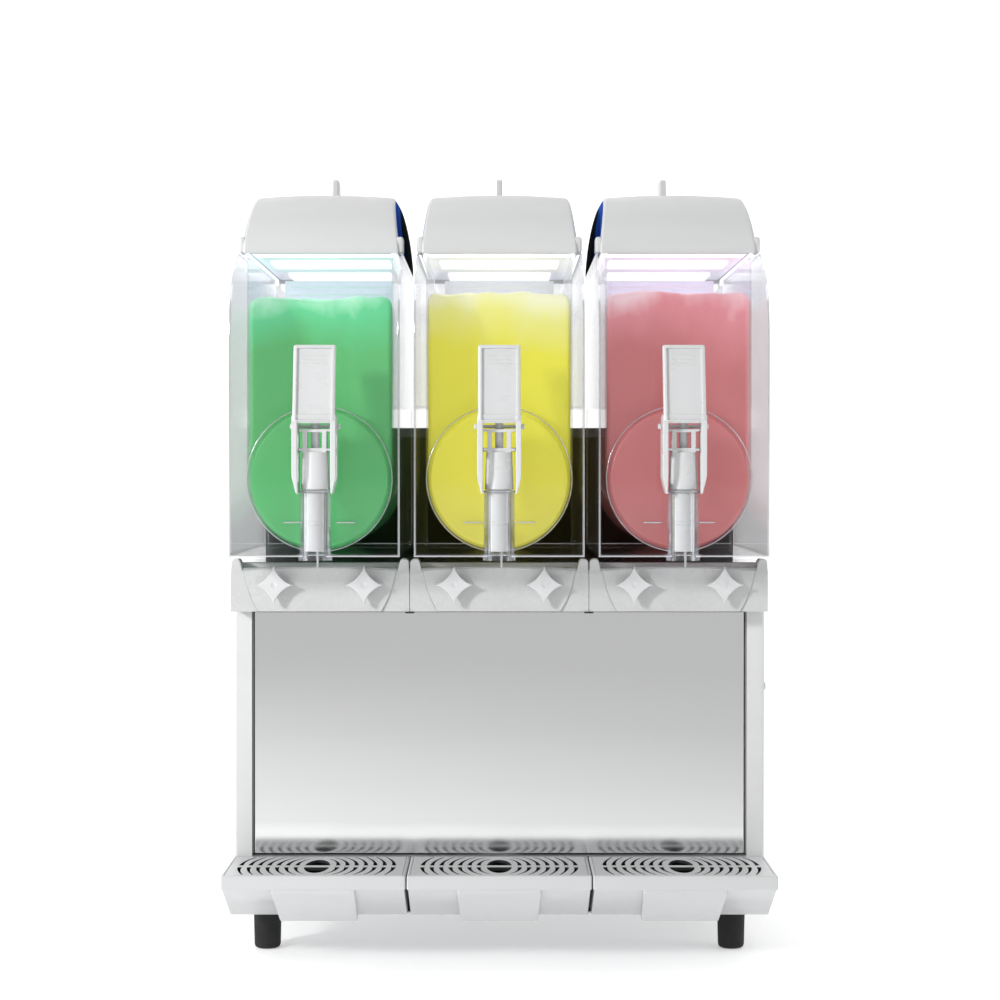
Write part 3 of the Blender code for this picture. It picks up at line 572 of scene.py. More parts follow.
def make_lid(n, cx):
    skin, body = lid_skin(cx), f"lid_{n}"
    piece(f"lid_cover_{n}", skin.copy(), LID_GREY, body, [body], 28)
    outline = [(0.07, 0.856), (0.0775, FIN_SHOULDER), (0.0805, LID_HIGH.z), (0.1145, LID_HIGH.z)]
    outline += [(0.1175, FIN_SHOULDER), (0.125, 0.85)]
    fin = shaped(prism(outline, "X", cx - FIN_HALF, cx + FIN_HALF), bevel=0.0014)
    piece(f"lid_fin_{n}", fin, LID_GREY, body)
    for side, label in SIDES:
        make_lid_side(n, cx, side, label, skin)
    make_lid_lights(n, cx)
    depth, height = (LID_FRONT + 0.0012, LID_FRONT + 0.003), (LID_RIM - 0.0003, LID_RIM + 0.001)
    lip = block(cx, LIP_HALF, depth, height, 0.0003, 2)
    piece(f"lid_lip_{n}", lip, BLACK_AND_SHADE, body)


def make_lid_side(n, cx, side, label, skin):
    """Thin printed panel that lies on the lid's side: the side's own faces, lifted a little."""
    bm = bmesh.new()
    bm.from_mesh(skin)
    bm.normal_update()
    spare = [face for face in bm.faces if face.normal.x * side < SIDE_FACING
             or face.calc_area() < SIDE_FACE_AREA
             or (face.calc_center_median().x - cx) * side < PRINT_INNER]
    bmesh.ops.delete(bm, geom=spare, context="FACES")
    lifted = bmesh.ops.extrude_face_region(bm, geom=bm.faces[:])["geom"]
    verts = [item for item in lifted if isinstance(item, bmesh.types.BMVert)]
    bmesh.ops.translate(bm, vec=(side * PRINT_DEPTH, 0.0, 0.0), verts=verts)
    piece(f"lid_side_{label}_{n}", to_mesh(bm), GRAPHIC, f"lid_{n}")


def make_lid_lights(n, cx):
    """Light fitting inside the lid: a pale plate, lit bars across it and a lit strip along each side."""
    body = f"lid_{n}"
    plate = block(cx, PLATE_HALF, (LID_FRONT + 0.004, PLATE_BACK), (LID_RIM + 0.005, LID_RIM + 0.007), 0.0008)
    piece(f"lid_light_plate_{n}", plate, TOWER, body)
    for bar, (front, back, half) in enumerate(LOUVRES):
        louvre = block(cx, half, (front, back), (LID_RIM + 0.0004, LID_RIM + 0.0055), 0.0016)
        piece(f"lid_louvre_{bar}_{n}", louvre, GLOW, body)
    for side, label in SIDES:
        low, high = across(cx, side, STRIP_INNER, STRIP_OUTER)
        strip = slab((low, STRIP_FRONT, LID_RIM - 0.0062), (high, STRIP_BACK, LID_RIM + 0.002), 0.0009)
        piece(f"lid_light_{label}_{n}", strip, GLOW, body)


# -------- clear shell and bowl
SHELL_HALF, SHELL_WALL = (SHELL_HIGH.x - SHELL_LOW.x) / 2, 0.0025
SHELL_TURN = 0.687    # where the upright front edge starts to sweep back
SHELL_BACK, SHELL_STEP = 0.1585, 0.625    # rear of the lower part, and where the upper part sets back
WINDOW_TOP, WINDOW_REACH = 0.623, 0.01    # opening in the lower part's rear, which the bowl passes through
NOTCH_GAP = 0.0025    # clearance round the tap tube
BOWL_HALF, BOWL_WALL = 0.0818, 0.002
BOWL_FRONT, BOWL_BACK = -0.1665, 0.15
BOSS_R, BOSS_FRONT, BOSS_WALL = 0.082, -0.1845, 0.0045
MOUTH_R = 0.07    # round opening at the rear, for the cold drum
TUBE_R, TUBE_BORE, TUBE_TOP, TUBE_SPLIT = 0.017, 0.0132, 0.524, 0.522
SPOUT_Z, SPOUT_R, SPOUT_BORE = 0.472, 0.012, 0.0075    # channel from the boss to the tap tube
# thickness of the thin ring that paints the highlight round the bowl's front end
RIM_HIGHLIGHT = 0.0007
# ends of two short bright bars that paint reflections of the lights on the boss
HIGHLIGHT_INNER, HIGHLIGHT_OUTER = 0.019, 0.04


def shell_side(grow=0.0, wall=0.0):
    front, top, low = SHELL_LOW.y - grow, SHELL_HIGH.z + grow, SHELL_LOW.z + wall
    sweep = bezier((front, SHELL_TURN), (front, 0.735 + grow), (-0.223 - grow, 0.768 + grow),
                   (-0.164 - grow * 0.5, top), 14)
    back, rear, step = SHELL_BACK - wall, SHELL_HIGH.y - wall, SHELL_STEP + wall
    return [(front, low)] + sweep + [(rear, top), (rear, step), (back, step), (back, low)]


def make_shell(n, cx):
    """Clear hood, open at the front and the top, with painted highlights on its cut edges."""
    inner = SHELL_HALF - SHELL_WALL
    room = prism(shell_side(0.01, SHELL_WALL), "X", cx - inner, cx + inner)
    window = box((cx - inner, SHELL_BACK - WINDOW_REACH, SHELL_LOW.z + SHELL_WALL),
                 (cx + inner, SHELL_BACK + WINDOW_REACH, WINDOW_TOP))
    notch = post(TUBE_R + NOTCH_GAP, cx, SHELL_LOW.z - 0.01, SHELL_LOW.z + 0.01)
    shell = prism(shell_side(), "X", cx - SHELL_HALF, cx + SHELL_HALF)
    shell = shaped(shaped(shell, cuts=(room, window, notch)), bevel=0.0007, segments=2)
    obj = piece(f"shell_{n}", shell, [CLEAR, CLEAR_HIGHLIGHT], "root", [f"outer_shell_{n}"])
    # painted highlight: faces inside the wall's thickness and those facing forward get the brighter clear
    # plastic
    for face in obj.data.polygons:
        in_wall = abs(face.center.x - cx) > inner - 0.0001
        if in_wall and abs(face.normal.x) < 0.9 or face.normal.y < -0.7:
            face.material_index = 1


def bowl_outline(cx, half, top, steps=40):
    return arc(cx, DRUM_Z, half, 180, 360, steps) + [(cx + half, top), (cx - half, top)]


def dome(radius, front, back, bulge=0.005):
    """Profile of a round end with a gentle bulge, as (radius, height) for a lathe about Y."""
    corner = arc(radius - 0.003, -(front + bulge), 0.003, 0, 75, 4)
    face = [(radius * share, -(front + bulge * 0.4 * share ** 2)) for share in (0.9, 0.7, 0.5, 0.25)]
    points = [(0, -back), (radius, -back)] + corner + face + [(0, -front)]
    return [(r, -h) for r, h in points]


def post(radius, cx, low, high):
    """Upright cylinder on the tap's axis."""
    return cylinder(radius, (cx, TAP_Y, low), (cx, TAP_Y, high))


def bowl_mesh(cx):
    """Clear bowl with its round front end, and the tap tube that the end feeds."""
    inner, foot = BOWL_HALF - BOWL_WALL, TANK_LOW.z
    bowl = prism(bowl_outline(cx, BOWL_HALF, TANK_HIGH.z), "Y", BOWL_FRONT, BOWL_BACK)
    joins = (
        lathe(dome(BOSS_R, BOSS_FRONT, -0.16), (cx, 0, DRUM_Z), "Y"),
        cylinder(SPOUT_R, (cx, BOSS_FRONT + 0.004, SPOUT_Z), (cx, TAP_Y + 0.004, SPOUT_Z), 32),
        post(TUBE_R, cx, foot + 0.0006, TUBE_TOP),
        post(TUBE_R + 0.0013, cx, foot + 0.0002, foot + 0.004),
        post(TUBE_R + 0.0008, cx, 0.4865, 0.4885),
    )
    room = bowl_outline(cx, inner, TANK_HIGH.z + 0.01)
    cuts = (
        prism(room, "Y", BOWL_FRONT + BOWL_WALL, BOWL_BACK - BOWL_WALL),
        cylinder(BOSS_R - BOSS_WALL, (cx, BOSS_FRONT + 0.0035, DRUM_Z), (cx, BOWL_FRONT + 0.01, DRUM_Z), 64),
        cylinder(MOUTH_R, (cx, BOWL_BACK - 0.01, DRUM_Z), (cx, BOWL_BACK + 0.01, DRUM_Z), 64),
        post(TUBE_BORE, cx, foot - 0.01, TUBE_TOP + 0.01),
        cylinder(SPOUT_BORE, (cx, BOSS_FRONT + 0.008, SPOUT_Z), (cx, TAP_Y + 0.002, SPOUT_Z), 32),
    )
    return shaped(bowl, cuts, joins)


def make_tank(n, cx):
    """The bowl, a thin bright ring that paints a highlight round its front end, the tube's collar and two
    short bright bars that paint reflections on the boss, the last three in the highlight plastic.
    """
    bowl = shifted(bowl_mesh(UNIT_X[1]), cx - UNIT_X[1])
    piece(f"bowl_{n}", bowl, CLEAR, "root", [f"tank_{n}"])
    highlight_ring = arc(BOSS_R - 0.0012, BOSS_FRONT + 0.0058, RIM_HIGHLIGHT, 0, 330, 11)
    highlight_ring = lathe(highlight_ring, (cx, 0, DRUM_Z), "Y", 96, closed=True)
    piece(f"bowl_rim_light_{n}", highlight_ring, CLEAR_HIGHLIGHT, "root")
    outside, bore = TUBE_R + 0.0002, TUBE_BORE + 0.0008
    collar = [(outside, TUBE_SPLIT), (outside, TUBE_TOP), (bore, TUBE_TOP + 0.0003), (bore, TUBE_SPLIT)]
    collar = lathe(collar, (cx, TAP_Y, 0), closed=True)
    piece(f"tap_collar_{n}", collar, CLEAR_HIGHLIGHT, "root")
    for side, label in SIDES:
        # painted reflection: a thin bar in the highlight plastic on each side of the tap
        low, high = across(cx, side, HIGHLIGHT_INNER, HIGHLIGHT_OUTER)
        rib = slab((low, BOSS_FRONT - 0.001, 0.4872), (high, BOSS_FRONT + 0.003, 0.489), 0.0007)
        piece(f"boss_highlight_{label}_{n}", rib, CLEAR_HIGHLIGHT, "root")


TOWER_HALF, TOWER_LOW = 0.068, 0.73
TOWER_RIBS, TOWER_FIRST, TOWER_PITCH = 5, 0.737, 0.0092


def make_tower(n, cx):
    """Ribbed white diffuser at the back of the bowl, above the slush."""
    back = BOWL_BACK - BOWL_WALL - 0.0008
    plate = box((cx - TOWER_HALF, back - 0.002, TOWER_LOW), (cx + TOWER_HALF, back, TANK_HIGH.z - 0.001))
    ribs = []
    for i in range(TOWER_RIBS):
        z, half = TOWER_FIRST + i * TOWER_PITCH, 0.064 - i * 0.0008
        rib = block(cx, half, (back - 0.0062, back - 0.0015), (z, z + 0.004), 0.0012)
        ribs.append(rib)
    piece(f"tower_diffuser_{n}", shaped(plate, joins=ribs), TOWER)


# -------- slush
SLUSH_TOP = {1: 0.7385, 2: 0.7445, 3: 0.744}
SLUSH_FRONT, SLUSH_BACK = -0.1632, 0.1465
SLUSH_GAP = 0.0003    # between the slush and the bowl's wall
SLUSH_CORNER, SLUSH_ROUND = 0.01, 0.005  # radii of the top's long edges and of the two ends
SLUSH_STATIONS, TOP_STEPS = 44, 22
WAVE_FADE = 0.03    # depth below the top where the waves end
WAVES = ((22, 7.0, 0.0052), (60, 3.0, 0.0022))    # noise scale, seed step and height
CAVITY_R, CAVITY_FRONT = 0.0764, -0.1425  # room that the auger turns in
NOSE_STEPS = 100    # not 96, so that no corner of the nose falls on an edge of the round bottom


def slush_ring(cx, n, y, inset):
    """One cross section of the slush: round bottom, upright sides, rounded and wavy top."""
    half, top = BOWL_HALF - BOWL_WALL - SLUSH_GAP - inset, SLUSH_TOP[n] - inset
    flat = half - SLUSH_CORNER
    ring = arc(0.0, DRUM_Z, half, 180, 360, 48)
    ring += arc(flat, top - SLUSH_CORNER, SLUSH_CORNER, 0, 90, 7)
    ring += [(flat - flat * 2 * i / TOP_STEPS, top) for i in range(1, TOP_STEPS)]
    ring += arc(-flat, top - SLUSH_CORNER, SLUSH_CORNER, 90, 180, 7)
    placed = []
    for x, z in ring:
        share = max(0.0, (z - (top - WAVE_FADE)) / WAVE_FADE)
        swell = sum(noise.noise(Vector((x * scale, y * scale, n * step))) * height
                    for scale, step, height in WAVES)
        placed.append((cx + x, z + swell * share))
    return placed


def slush_body(n, cx):
    bm = bmesh.new()
    rings = []
    for i in range(SLUSH_STATIONS + 1):
        share = 0.5 - 0.5 * cos(pi * i / SLUSH_STATIONS)
        y = SLUSH_FRONT + (SLUSH_BACK - SLUSH_FRONT) * share
        depth = min(y - SLUSH_FRONT, SLUSH_BACK - y)
        inset = 0.0
        if depth < SLUSH_ROUND:
            inset = SLUSH_ROUND - sqrt(max(0.0, SLUSH_ROUND ** 2 - (SLUSH_ROUND - depth) ** 2))
        rings.append([bm.verts.new((x, y, z)) for x, z in slush_ring(cx, n, y, inset)])
    bridge(bm, rings)
    return to_mesh(bm)


def make_slush(n, cx):
    """The drink: it fills the bowl and its round end, with room for the auger inside."""
    nose = dome(BOSS_R - 0.0052, BOSS_FRONT + 0.0042, -0.156)
    nose = lathe(nose, (cx, 0, DRUM_Z), "Y", NOSE_STEPS)
    cavity = cylinder(CAVITY_R, (cx, CAVITY_FRONT, DRUM_Z), (cx, 0.17, DRUM_Z), 96)
    body = shaped(slush_body(n, cx), cuts=(cavity,), joins=(nose,))
    piece(f"slush_{n}", body, SLUSH[n], "root", smooth=40)


# -------- tap
PIVOT_Z = 0.5935
LEVER_FRONT, LEVER_FOOT, LEVER_TOP = LEVER_LOW.y, 0.5985, LEVER_HIGH.z
LEVER_LEAN = 0.02    # how much further back the plate's top is than its foot
PLATE_WIDE, RECESS_WIDE, SHOULDER_WIDE = 0.023, 0.0192, 0.0236    # half widths
CHEEK_INNER, CHEEK_OUTER, CHEEK_FOOT = 0.0178, 0.0238, 0.5205
CHEEK_FRONT, CHEEK_BACK = -0.2625, -0.223
CHEEK_WINDOWS = ((0.569, 0.586), (0.533, 0.564))
GRIP_COUNT, GRIP_PITCH, GRIP_WIDE = 3, 0.0045, 0.013
YOKE_DEPTH, YOKE_HEIGHT, YOKE_BARS = (-0.248, -0.2335), (0.565, 0.5905), (0.567, 0.5879)


def leaning(mesh):
    """Shears a mesh back, so that it leans away from the front above the plate's foot."""
    for vertex in mesh.vertices:
        vertex.co.y += LEVER_LEAN * (vertex.co.z - LEVER_FOOT) / (LEVER_TOP - LEVER_FOOT)
    return mesh


def lever_plate(cx):
    """Pull plate with a raised rim."""
    y = LEVER_FRONT
    plate = block(cx, PLATE_WIDE, (y, y + 0.009), (LEVER_FOOT, LEVER_TOP), 0.0026, 4)
    height = (LEVER_FOOT + 0.0012, LEVER_TOP - 0.0034)
    recess = block(cx, RECESS_WIDE, (y - 0.003, y + 0.003), height, 0.001, 2)
    return leaning(shaped(plate, cuts=(recess,)))


def lever_cheek(cx, side):
    """Side plate of the lever, thinner towards its foot."""
    outline = [(CHEEK_FRONT, 0.605), (CHEEK_FRONT, 0.544), (-0.2562, CHEEK_FOOT), (-0.229, CHEEK_FOOT)]
    outline += [(CHEEK_BACK, 0.53), (CHEEK_BACK, 0.596), (-0.229, 0.604), (-0.245, 0.6066)]
    low, high = across(cx, side, CHEEK_INNER, CHEEK_OUTER)
    toe = [(cx + side * x, z) for x, z in ((0.025, 0.544), (0.0193, 0.519), (0.025, 0.519))]
    toe = prism(toe, "Y", CHEEK_FRONT - 0.0075, CHEEK_BACK + 0.008)
    return shaped(prism(outline, "X", low, high), cuts=(toe,), bevel=0.0011)


def make_lever(n, cx):
    """Pull plate, shoulders, windowed cheeks, a rear cross bar and plain ribs to grip."""
    y, body = LEVER_FRONT, f"tap_lever_{n}"
    shoulder = block(cx, SHOULDER_WIDE, (y + 0.0036, -0.246), (0.5968, 0.6065), 0.0016)
    bar = block(cx, 0.019, (-0.2285, -0.2245), (0.5665, 0.5705), 0.0006, 2)
    joins = [shoulder] + [lever_cheek(cx, side) for side, _ in SIDES] + [bar]
    cuts = [cylinder(0.0025, (cx - 0.04, TAP_Y, PIVOT_Z), (cx + 0.04, TAP_Y, PIVOT_Z), 24)]
    cuts += [block(cx, 0.04, (-0.257, -0.245), (low, high), 0.002)
             for low, high in CHEEK_WINDOWS]
    piece(f"lever_{n}", shaped(lever_plate(cx), cuts, joins), WHITE, body, replaces=[body])
    grips = []
    for i in range(GRIP_COUNT):
        z = LEVER_TOP - 0.013 - i * GRIP_PITCH
        grip = block(cx, GRIP_WIDE, (y + 0.0024, y + 0.0042), (z, z + 0.0016), 0.0006, 2)
        grips.append(leaning(grip))
    piece(f"lever_grip_{n}", joined(*grips), WHITE, body)


def make_yoke(cx):
    """Square frame on the piston's stem, with a cross bar above and below, seen between the cheeks."""
    frame = block(cx, 0.013, YOKE_DEPTH, YOKE_HEIGHT, 0.0009, 2)
    hole = box((cx - 0.008, -0.26, 0.57), (cx + 0.008, -0.22, 0.5872))
    front = YOKE_DEPTH[0]
    bars = [block(cx, 0.017, (front, front + 0.004), (z, z + 0.0026), 0.0006, 2) for z in YOKE_BARS]
    return shaped(frame, cuts=(hole,), joins=bars)


def make_cap_front(cx):
    """Square-shouldered front half of the piston's cap."""
    profile = [(0, 0.566), (0.0134, 0.566), (0.0141, 0.5652), (0.0154, 0.528), (0, 0.528)]
    behind = box((cx - 0.03, TAP_Y - 0.001, 0.52), (cx + 0.03, TAP_Y + 0.03, 0.58))
    return shaped(lathe(profile, (cx, TAP_Y, 0)), cuts=(behind,))


def make_piston(n, cx):
    """Stem, cap and plunger in one, the lever's pin through it and the tip below."""
    body, place = f"tap_piston_{n}", (cx, TAP_Y, 0)
    stem = [(0, 0.5985), (0.0036, 0.5985), (0.0045, 0.5975), (0.0045, 0.565), (0.0085, 0.564)]
    stem += [(0.01, 0.563), (0.0118, 0.5605), (0.0155, 0.5275), (0.0155, 0.5254), (0.015, 0.5249)]
    stem += [(0.0116, 0.5248), (0.0116, 0.5222), (0.0123, 0.5212), (0.0123, 0.4905), (0.0117, 0.4898)]
    stem += [(0.0117, 0.4872), (0.0123, 0.4865), (0.0123, 0.46), (0.011, 0.4578), (0, 0.4578)]
    stem = shaped(lathe(stem, place), joins=(make_yoke(cx), make_cap_front(cx)))
    piece(f"piston_{n}", stem, WHITE, body, replaces=[body])
    end = [(0, 0.0274), (0.0026, 0.0274), (0.003, 0.0269), (0.003, 0.0246), (0.002, 0.0242)]
    pin = lathe([(radius, -along) for radius, along in end] + end[::-1], ORIGIN)
    pin.transform(Matrix.Translation((cx, TAP_Y, PIVOT_Z)) @ Matrix.Rotation(pi / 2, 4, "Y"))
    piece(f"lever_pin_{n}", pin, WHITE, body)
    drip = [(0, 0.4585), (0.0016, 0.4585), (0.0013, 0.45), (0.001, 0.4402), (0, 0.4396)]
    drip = lathe(drip, (cx + 0.0025, TAP_Y, 0), segments=24)
    piece(f"piston_tip_{n}", drip, ZINC, body)


# -------- fascia and knobs
FASCIA_FRONT, FASCIA_BACK = -0.175, -0.1503
FASCIA_BOTTOM, FASCIA_TOP, FASCIA_WALL = 0.3883, 0.437, 0.0025
UNIT_HALF = 0.0997
FIELD_TOP, FIELD_FOOT, FIELD_CORNER = 0.0848, 0.0682, 0.434    # half widths, and the upper corners' height
KNOB_Z, KNOB_X, KNOB_TIP, KNOB_STEPS = 0.4188, 0.05, 0.0217, 144
KNOB_HOLLOW = 0.68    # 1 gives straight sides between the points, less gives hollow ones
KNOB_FACE, KNOB_THICK, KNOB_BORE = FASCIA_FRONT - 0.015, 0.008, 0.0048


def field_outline(cx, inset=0.0):
    """Centre field of the fascia: bowed slanting sides and a slightly arched top."""
    corner, high = FIELD_TOP - inset, FIELD_CORNER - inset
    right = bezier((corner, high), (0.0822 - inset, 0.418), (0.0765 - inset, 0.402),
                   (FIELD_FOOT - inset, FASCIA_BOTTOM + 0.0002), 10)
    top = bezier((-corner, high), (-0.05, 0.4385 - inset), (0.05, 0.4385 - inset), (corner, high), 12)
    left = [(-x, z) for x, z in reversed(right)]
    return [(cx + x, z) for x, z in top[:-1] + right + left[:-1]]


def end_rise(cx, side):
    """Raised end of the fascia: a rounded shoulder outside, a hollow curve down to the recess inside."""
    rise = [(0.0994, 0.428), (0.0994, 0.4425)] + arc(0.0945, 0.4425, 0.0049, 0, 90, 6)[1:]
    rise += bezier((0.0918, 0.4474), (0.088, 0.447), (0.088, 0.4385), (0.0846, 0.428), 9)
    return [(cx + side * x, z) for x, z in rise]


def fascia_section(y):
    """Channel section in Y and Z, open at the rear, with a rounded upper front edge."""
    back, low, top, wall = FASCIA_BACK, FASCIA_BOTTOM, FASCIA_TOP, FASCIA_WALL
    section = [(y + 0.001, low)] + arc(y + 0.0065, top - 0.0065, 0.0065, 180, 90, 8) + [(back, top)]
    section += [(back, top - wall), (y + 0.0075, top - wall), (y + wall, top - 0.008), (y + wall, low + wall)]
    return section + [(back, low + wall), (back, low)]


def make_fascia(n, cx):
    """Bar with raised ends, a raised centre field and the dark seam round it."""
    y = FASCIA_FRONT + 0.0014
    bar = prism(fascia_section(y), "X", cx - UNIT_HALF, cx + UNIT_HALF)
    joins = [shaped(prism(end_rise(cx, side), "Y", y + 0.0004, FASCIA_BACK - 0.001), bevel=0.0016, segments=4)
             for side, _ in SIDES]
    bar = shaped(bar, knob_holes(cx, y), joins)
    piece(f"fascia_bar_{n}", bar, FASCIA_WHITE, replaces=[f"fascia_{n}"])
    field = prism(field_outline(cx), "Y", FASCIA_FRONT - 0.0001, y + 0.0006)
    field = shaped(shaped(field, bevel=0.0008, angle=50), cuts=knob_holes(cx, y))
    piece(f"fascia_field_{n}", field, FASCIA_WHITE)
    groove = prism(field_outline(cx, -0.0012), "Y", y - 0.00005, y + 0.0004)
    inner = prism(field_outline(cx, 0.0006), "Y", y - 0.002, y + 0.002)
    piece(f"fascia_seam_{n}", shaped(groove, cuts=(inner,)), ZINC, "root")


def knob_holes(cx, y):
    return [cylinder(KNOB_BORE, (cx + s * KNOB_X, y - 0.01, KNOB_Z), (cx + s * KNOB_X, y + 0.01, KNOB_Z), 32)
            for s, _ in SIDES]


def make_clips():
    """Dark clips under the joints between the fascias."""
    for number, x in enumerate((UNIT_X[1] + 0.1, UNIT_X[2] + 0.1)):
        clip = block(x, 0.005, (FASCIA_FRONT + 0.0004, -0.15), (0.3864, 0.3882), 0.0004, 2)
        piece(f"fascia_clip_{number}", clip, BLACK_AND_SHADE, "root")


def knob_outline(x):
    """Four sharp points joined by hollow sides."""
    outline = []
    for i in range(KNOB_STEPS):
        angle = tau * i / KNOB_STEPS
        spread = abs(cos(angle)) ** KNOB_HOLLOW + abs(sin(angle)) ** KNOB_HOLLOW
        reach = KNOB_TIP / spread ** (1 / KNOB_HOLLOW)
        outline.append((x + reach * cos(angle), KNOB_Z + reach * sin(angle)))
    return outline


def make_knob(n, cx, side, label):
    """Star with a shallow dimple, on a round neck."""
    x, face, body = cx + side * KNOB_X, KNOB_FACE, f"knob_{label}_{n}"
    star = shaped(prism(knob_outline(x), "Y", face, face + KNOB_THICK), bevel=0.0011, angle=60)
    neck = [(0, -0.1756), (0.0086, -0.1756), (0.0078, -0.18), (0.0078, -0.184), (0, -0.184)]
    neck = lathe(neck, (x, 0, KNOB_Z), "Y", 48)
    dimple = [(0, 0.0008), (0.003, 0.0005), (0.0048, -0.0004), (0.0048, -0.002), (0, -0.002)]
    dimple = lathe([(radius, face + depth) for radius, depth in dimple], (x, 0, KNOB_Z), "Y", 48)
    piece(f"star_{label}_{n}", shaped(star, cuts=(dimple,), joins=(neck,)), WHITE, body, replaces=[body])


# -------- drip tray and grille
TRAY_HALF = (TRAY_HIGH.x - TRAY_LOW.x) / 2
TRAY_FRONT, TRAY_BACK, TRAY_TOP, TRAY_LIP = TRAY_LOW.y, TRAY_HIGH.y, TRAY_HIGH.z, 0.093
TRAY_FLOOR, TRAY_KNEE, GRIP_LOW = 0.0516, -0.183, 0.0444
BASIN_FRONT, BASIN_HALF = -0.262, 0.0985
# the basin's hollow, whose walls are painted dark as shade
HOLLOW_FRONT, HOLLOW_HALF, HOLLOW_OPEN = -0.2555, 0.088, 0.12
PULL_HALF, PULL_TAPER = 0.0455, 0.05
SEAT_HALF, SEAT_Z = 0.0968, 0.1052
RING_Y, RING_PITCH, RING_FIRST, RING_COUNT = -0.2045, 0.0103, 0.0253, 7
RING_LONGER = 0.028    # how much longer than wide an oval's half is
SLOT_WIDTH, SLOT_STEPS, RIB_HALF = 0.0052, 12, 0.0062
DRAIN_HALF, DRAIN_LONG = 0.014, 0.042
GRILLE_HALF, SLOT_MARGIN = 0.0965, 0.004


def pull_block(cx, seam):
    """Block under the tray's middle, a little narrower towards its foot."""
    outline = [(-0.2643, seam), (-0.2641, TRAY_LIP - 0.004), (TRAY_KNEE, GRIP_LOW)]
    outline += [(TRAY_KNEE + 0.006, GRIP_LOW), (TRAY_KNEE + 0.006, seam)]
    grip = prism(outline, "X", -PULL_HALF, PULL_HALF)
    for vertex in grip.vertices:
        vertex.co.x = cx + vertex.co.x * (1 - PULL_TAPER * (seam - vertex.co.z) / (seam - GRIP_LOW))
    return shaped(grip, bevel=0.0018)


def make_tray(n, cx):
    """Lip, a basin whose underside falls to the rear, the pull block and painted shade on the basin's inside.
    """
    lip = block(cx, TRAY_HALF, (TRAY_FRONT, TRAY_BACK), (TRAY_LIP, TRAY_TOP), 0.0022, 4)
    seam, rear, bottom = TRAY_LIP + 0.002, TRAY_BACK - 0.003, TRAY_FLOOR
    under = [(-0.263, seam), (BASIN_FRONT, TRAY_LIP), (TRAY_KNEE, bottom), (rear, bottom), (rear, seam)]
    under = shaped(prism(under, "X", cx - BASIN_HALF, cx + BASIN_HALF), bevel=0.0025)
    sill, floor, end = TRAY_LIP + 0.003, bottom + 0.0045, rear - 0.004
    inside = [(HOLLOW_FRONT, HOLLOW_OPEN), (HOLLOW_FRONT, sill), (TRAY_KNEE + 0.003, floor), (end, floor)]
    inside = prism(inside + [(end, HOLLOW_OPEN)], "X", cx - HOLLOW_HALF, cx + HOLLOW_HALF)
    seat = box((cx - SEAT_HALF, TRAY_FRONT + 0.0032, SEAT_Z),
               (cx + SEAT_HALF, TRAY_BACK - 0.0032, HOLLOW_OPEN))
    tray, body = shaped(lip, (inside, seat), (under, pull_block(cx, seam))), f"drip_tray_{n}"
    obj = piece(f"tray_{n}", tray, [TRAY_WHITE, BLACK_AND_SHADE], body, replaces=[body])
    # painted shade: faces lining the basin's hollow get the black material
    for face in obj.data.polygons:
        x, y, z = face.center
        within = abs(x - cx) < HOLLOW_HALF + 0.0001 and HOLLOW_FRONT - 0.0001 < y < end + 0.0001
        if within and underside(y) + 0.003 < z < SEAT_Z - 0.0001:
            face.material_index = 1


def underside(y):
    """Height of the basin's underside at a depth y."""
    share = min(1.0, (y - BASIN_FRONT) / (TRAY_KNEE - BASIN_FRONT))
    return TRAY_LIP + (TRAY_FLOOR - TRAY_LIP) * share


def crescent(cx, side, half, reach):
    """A slot between two ovals that meet towards its ends; half is -1 in front of the rib, 1 behind."""
    edge = (GRILLE_HIGH.y - SLOT_MARGIN if half > 0 else GRILLE_LOW.y + SLOT_MARGIN) - RING_Y
    stretch = reach + RING_LONGER
    first = asin(min(1.0, RIB_HALF / stretch))
    limit = asin(min(0.9, abs(edge) / stretch))
    outer, inner = [], []
    for i in range(SLOT_STEPS + 1):
        share = i / SLOT_STEPS
        angle = first + (limit - first) * i / SLOT_STEPS
        width = SLOT_WIDTH * (1 - 0.72 * share ** 0.7)
        outer.append((reach * cos(angle), stretch * sin(angle)))
        inner.append(((reach - width) * cos(angle), (stretch - width * 0.6) * sin(angle)))
    return [(cx + side * x, RING_Y + half * y) for x, y in outer + inner[::-1]]


def drain_outline(cx, half):
    """One half of the oval centre hole, cut off along the middle rib and short of the grille's edge."""
    reach = (GRILLE_HIGH.y - 0.006 if half > 0 else GRILLE_LOW.y + 0.006) - RING_Y
    limit = degrees(asin(min(1.0, abs(reach) / DRAIN_LONG)))
    first = degrees(asin(RIB_HALF / DRAIN_LONG))
    turn = [(DRAIN_HALF * cos(radians(a)), DRAIN_LONG * sin(radians(a)))
            for a in [first + (limit - first) * i / 12 for i in range(13)]]
    outline = turn + [(-x, y) for x, y in reversed(turn)]
    return [(cx + x, RING_Y + half * y) for x, y in outline]


def grille_mesh(cx):
    """Plate with oval rings of slots and a drain hole, parted by a rib along its middle."""
    low, high = (cx - GRILLE_HALF, *GRILLE_LOW.yz), (cx + GRILLE_HALF, *GRILLE_HIGH.yz)
    outlines = [crescent(cx, side, half, RING_FIRST + ring * RING_PITCH)
                for side in (-1, 1) for half in (-1, 1) for ring in range(RING_COUNT)]
    outlines += [drain_outline(cx, half) for half in (-1, 1)]
    slots = [prism(outline, "Z", GRILLE_LOW.z - 0.004, GRILLE_HIGH.z + 0.004) for outline in outlines]
    return shaped(slab(low, high, 0.001), cuts=(joined(*slots),))


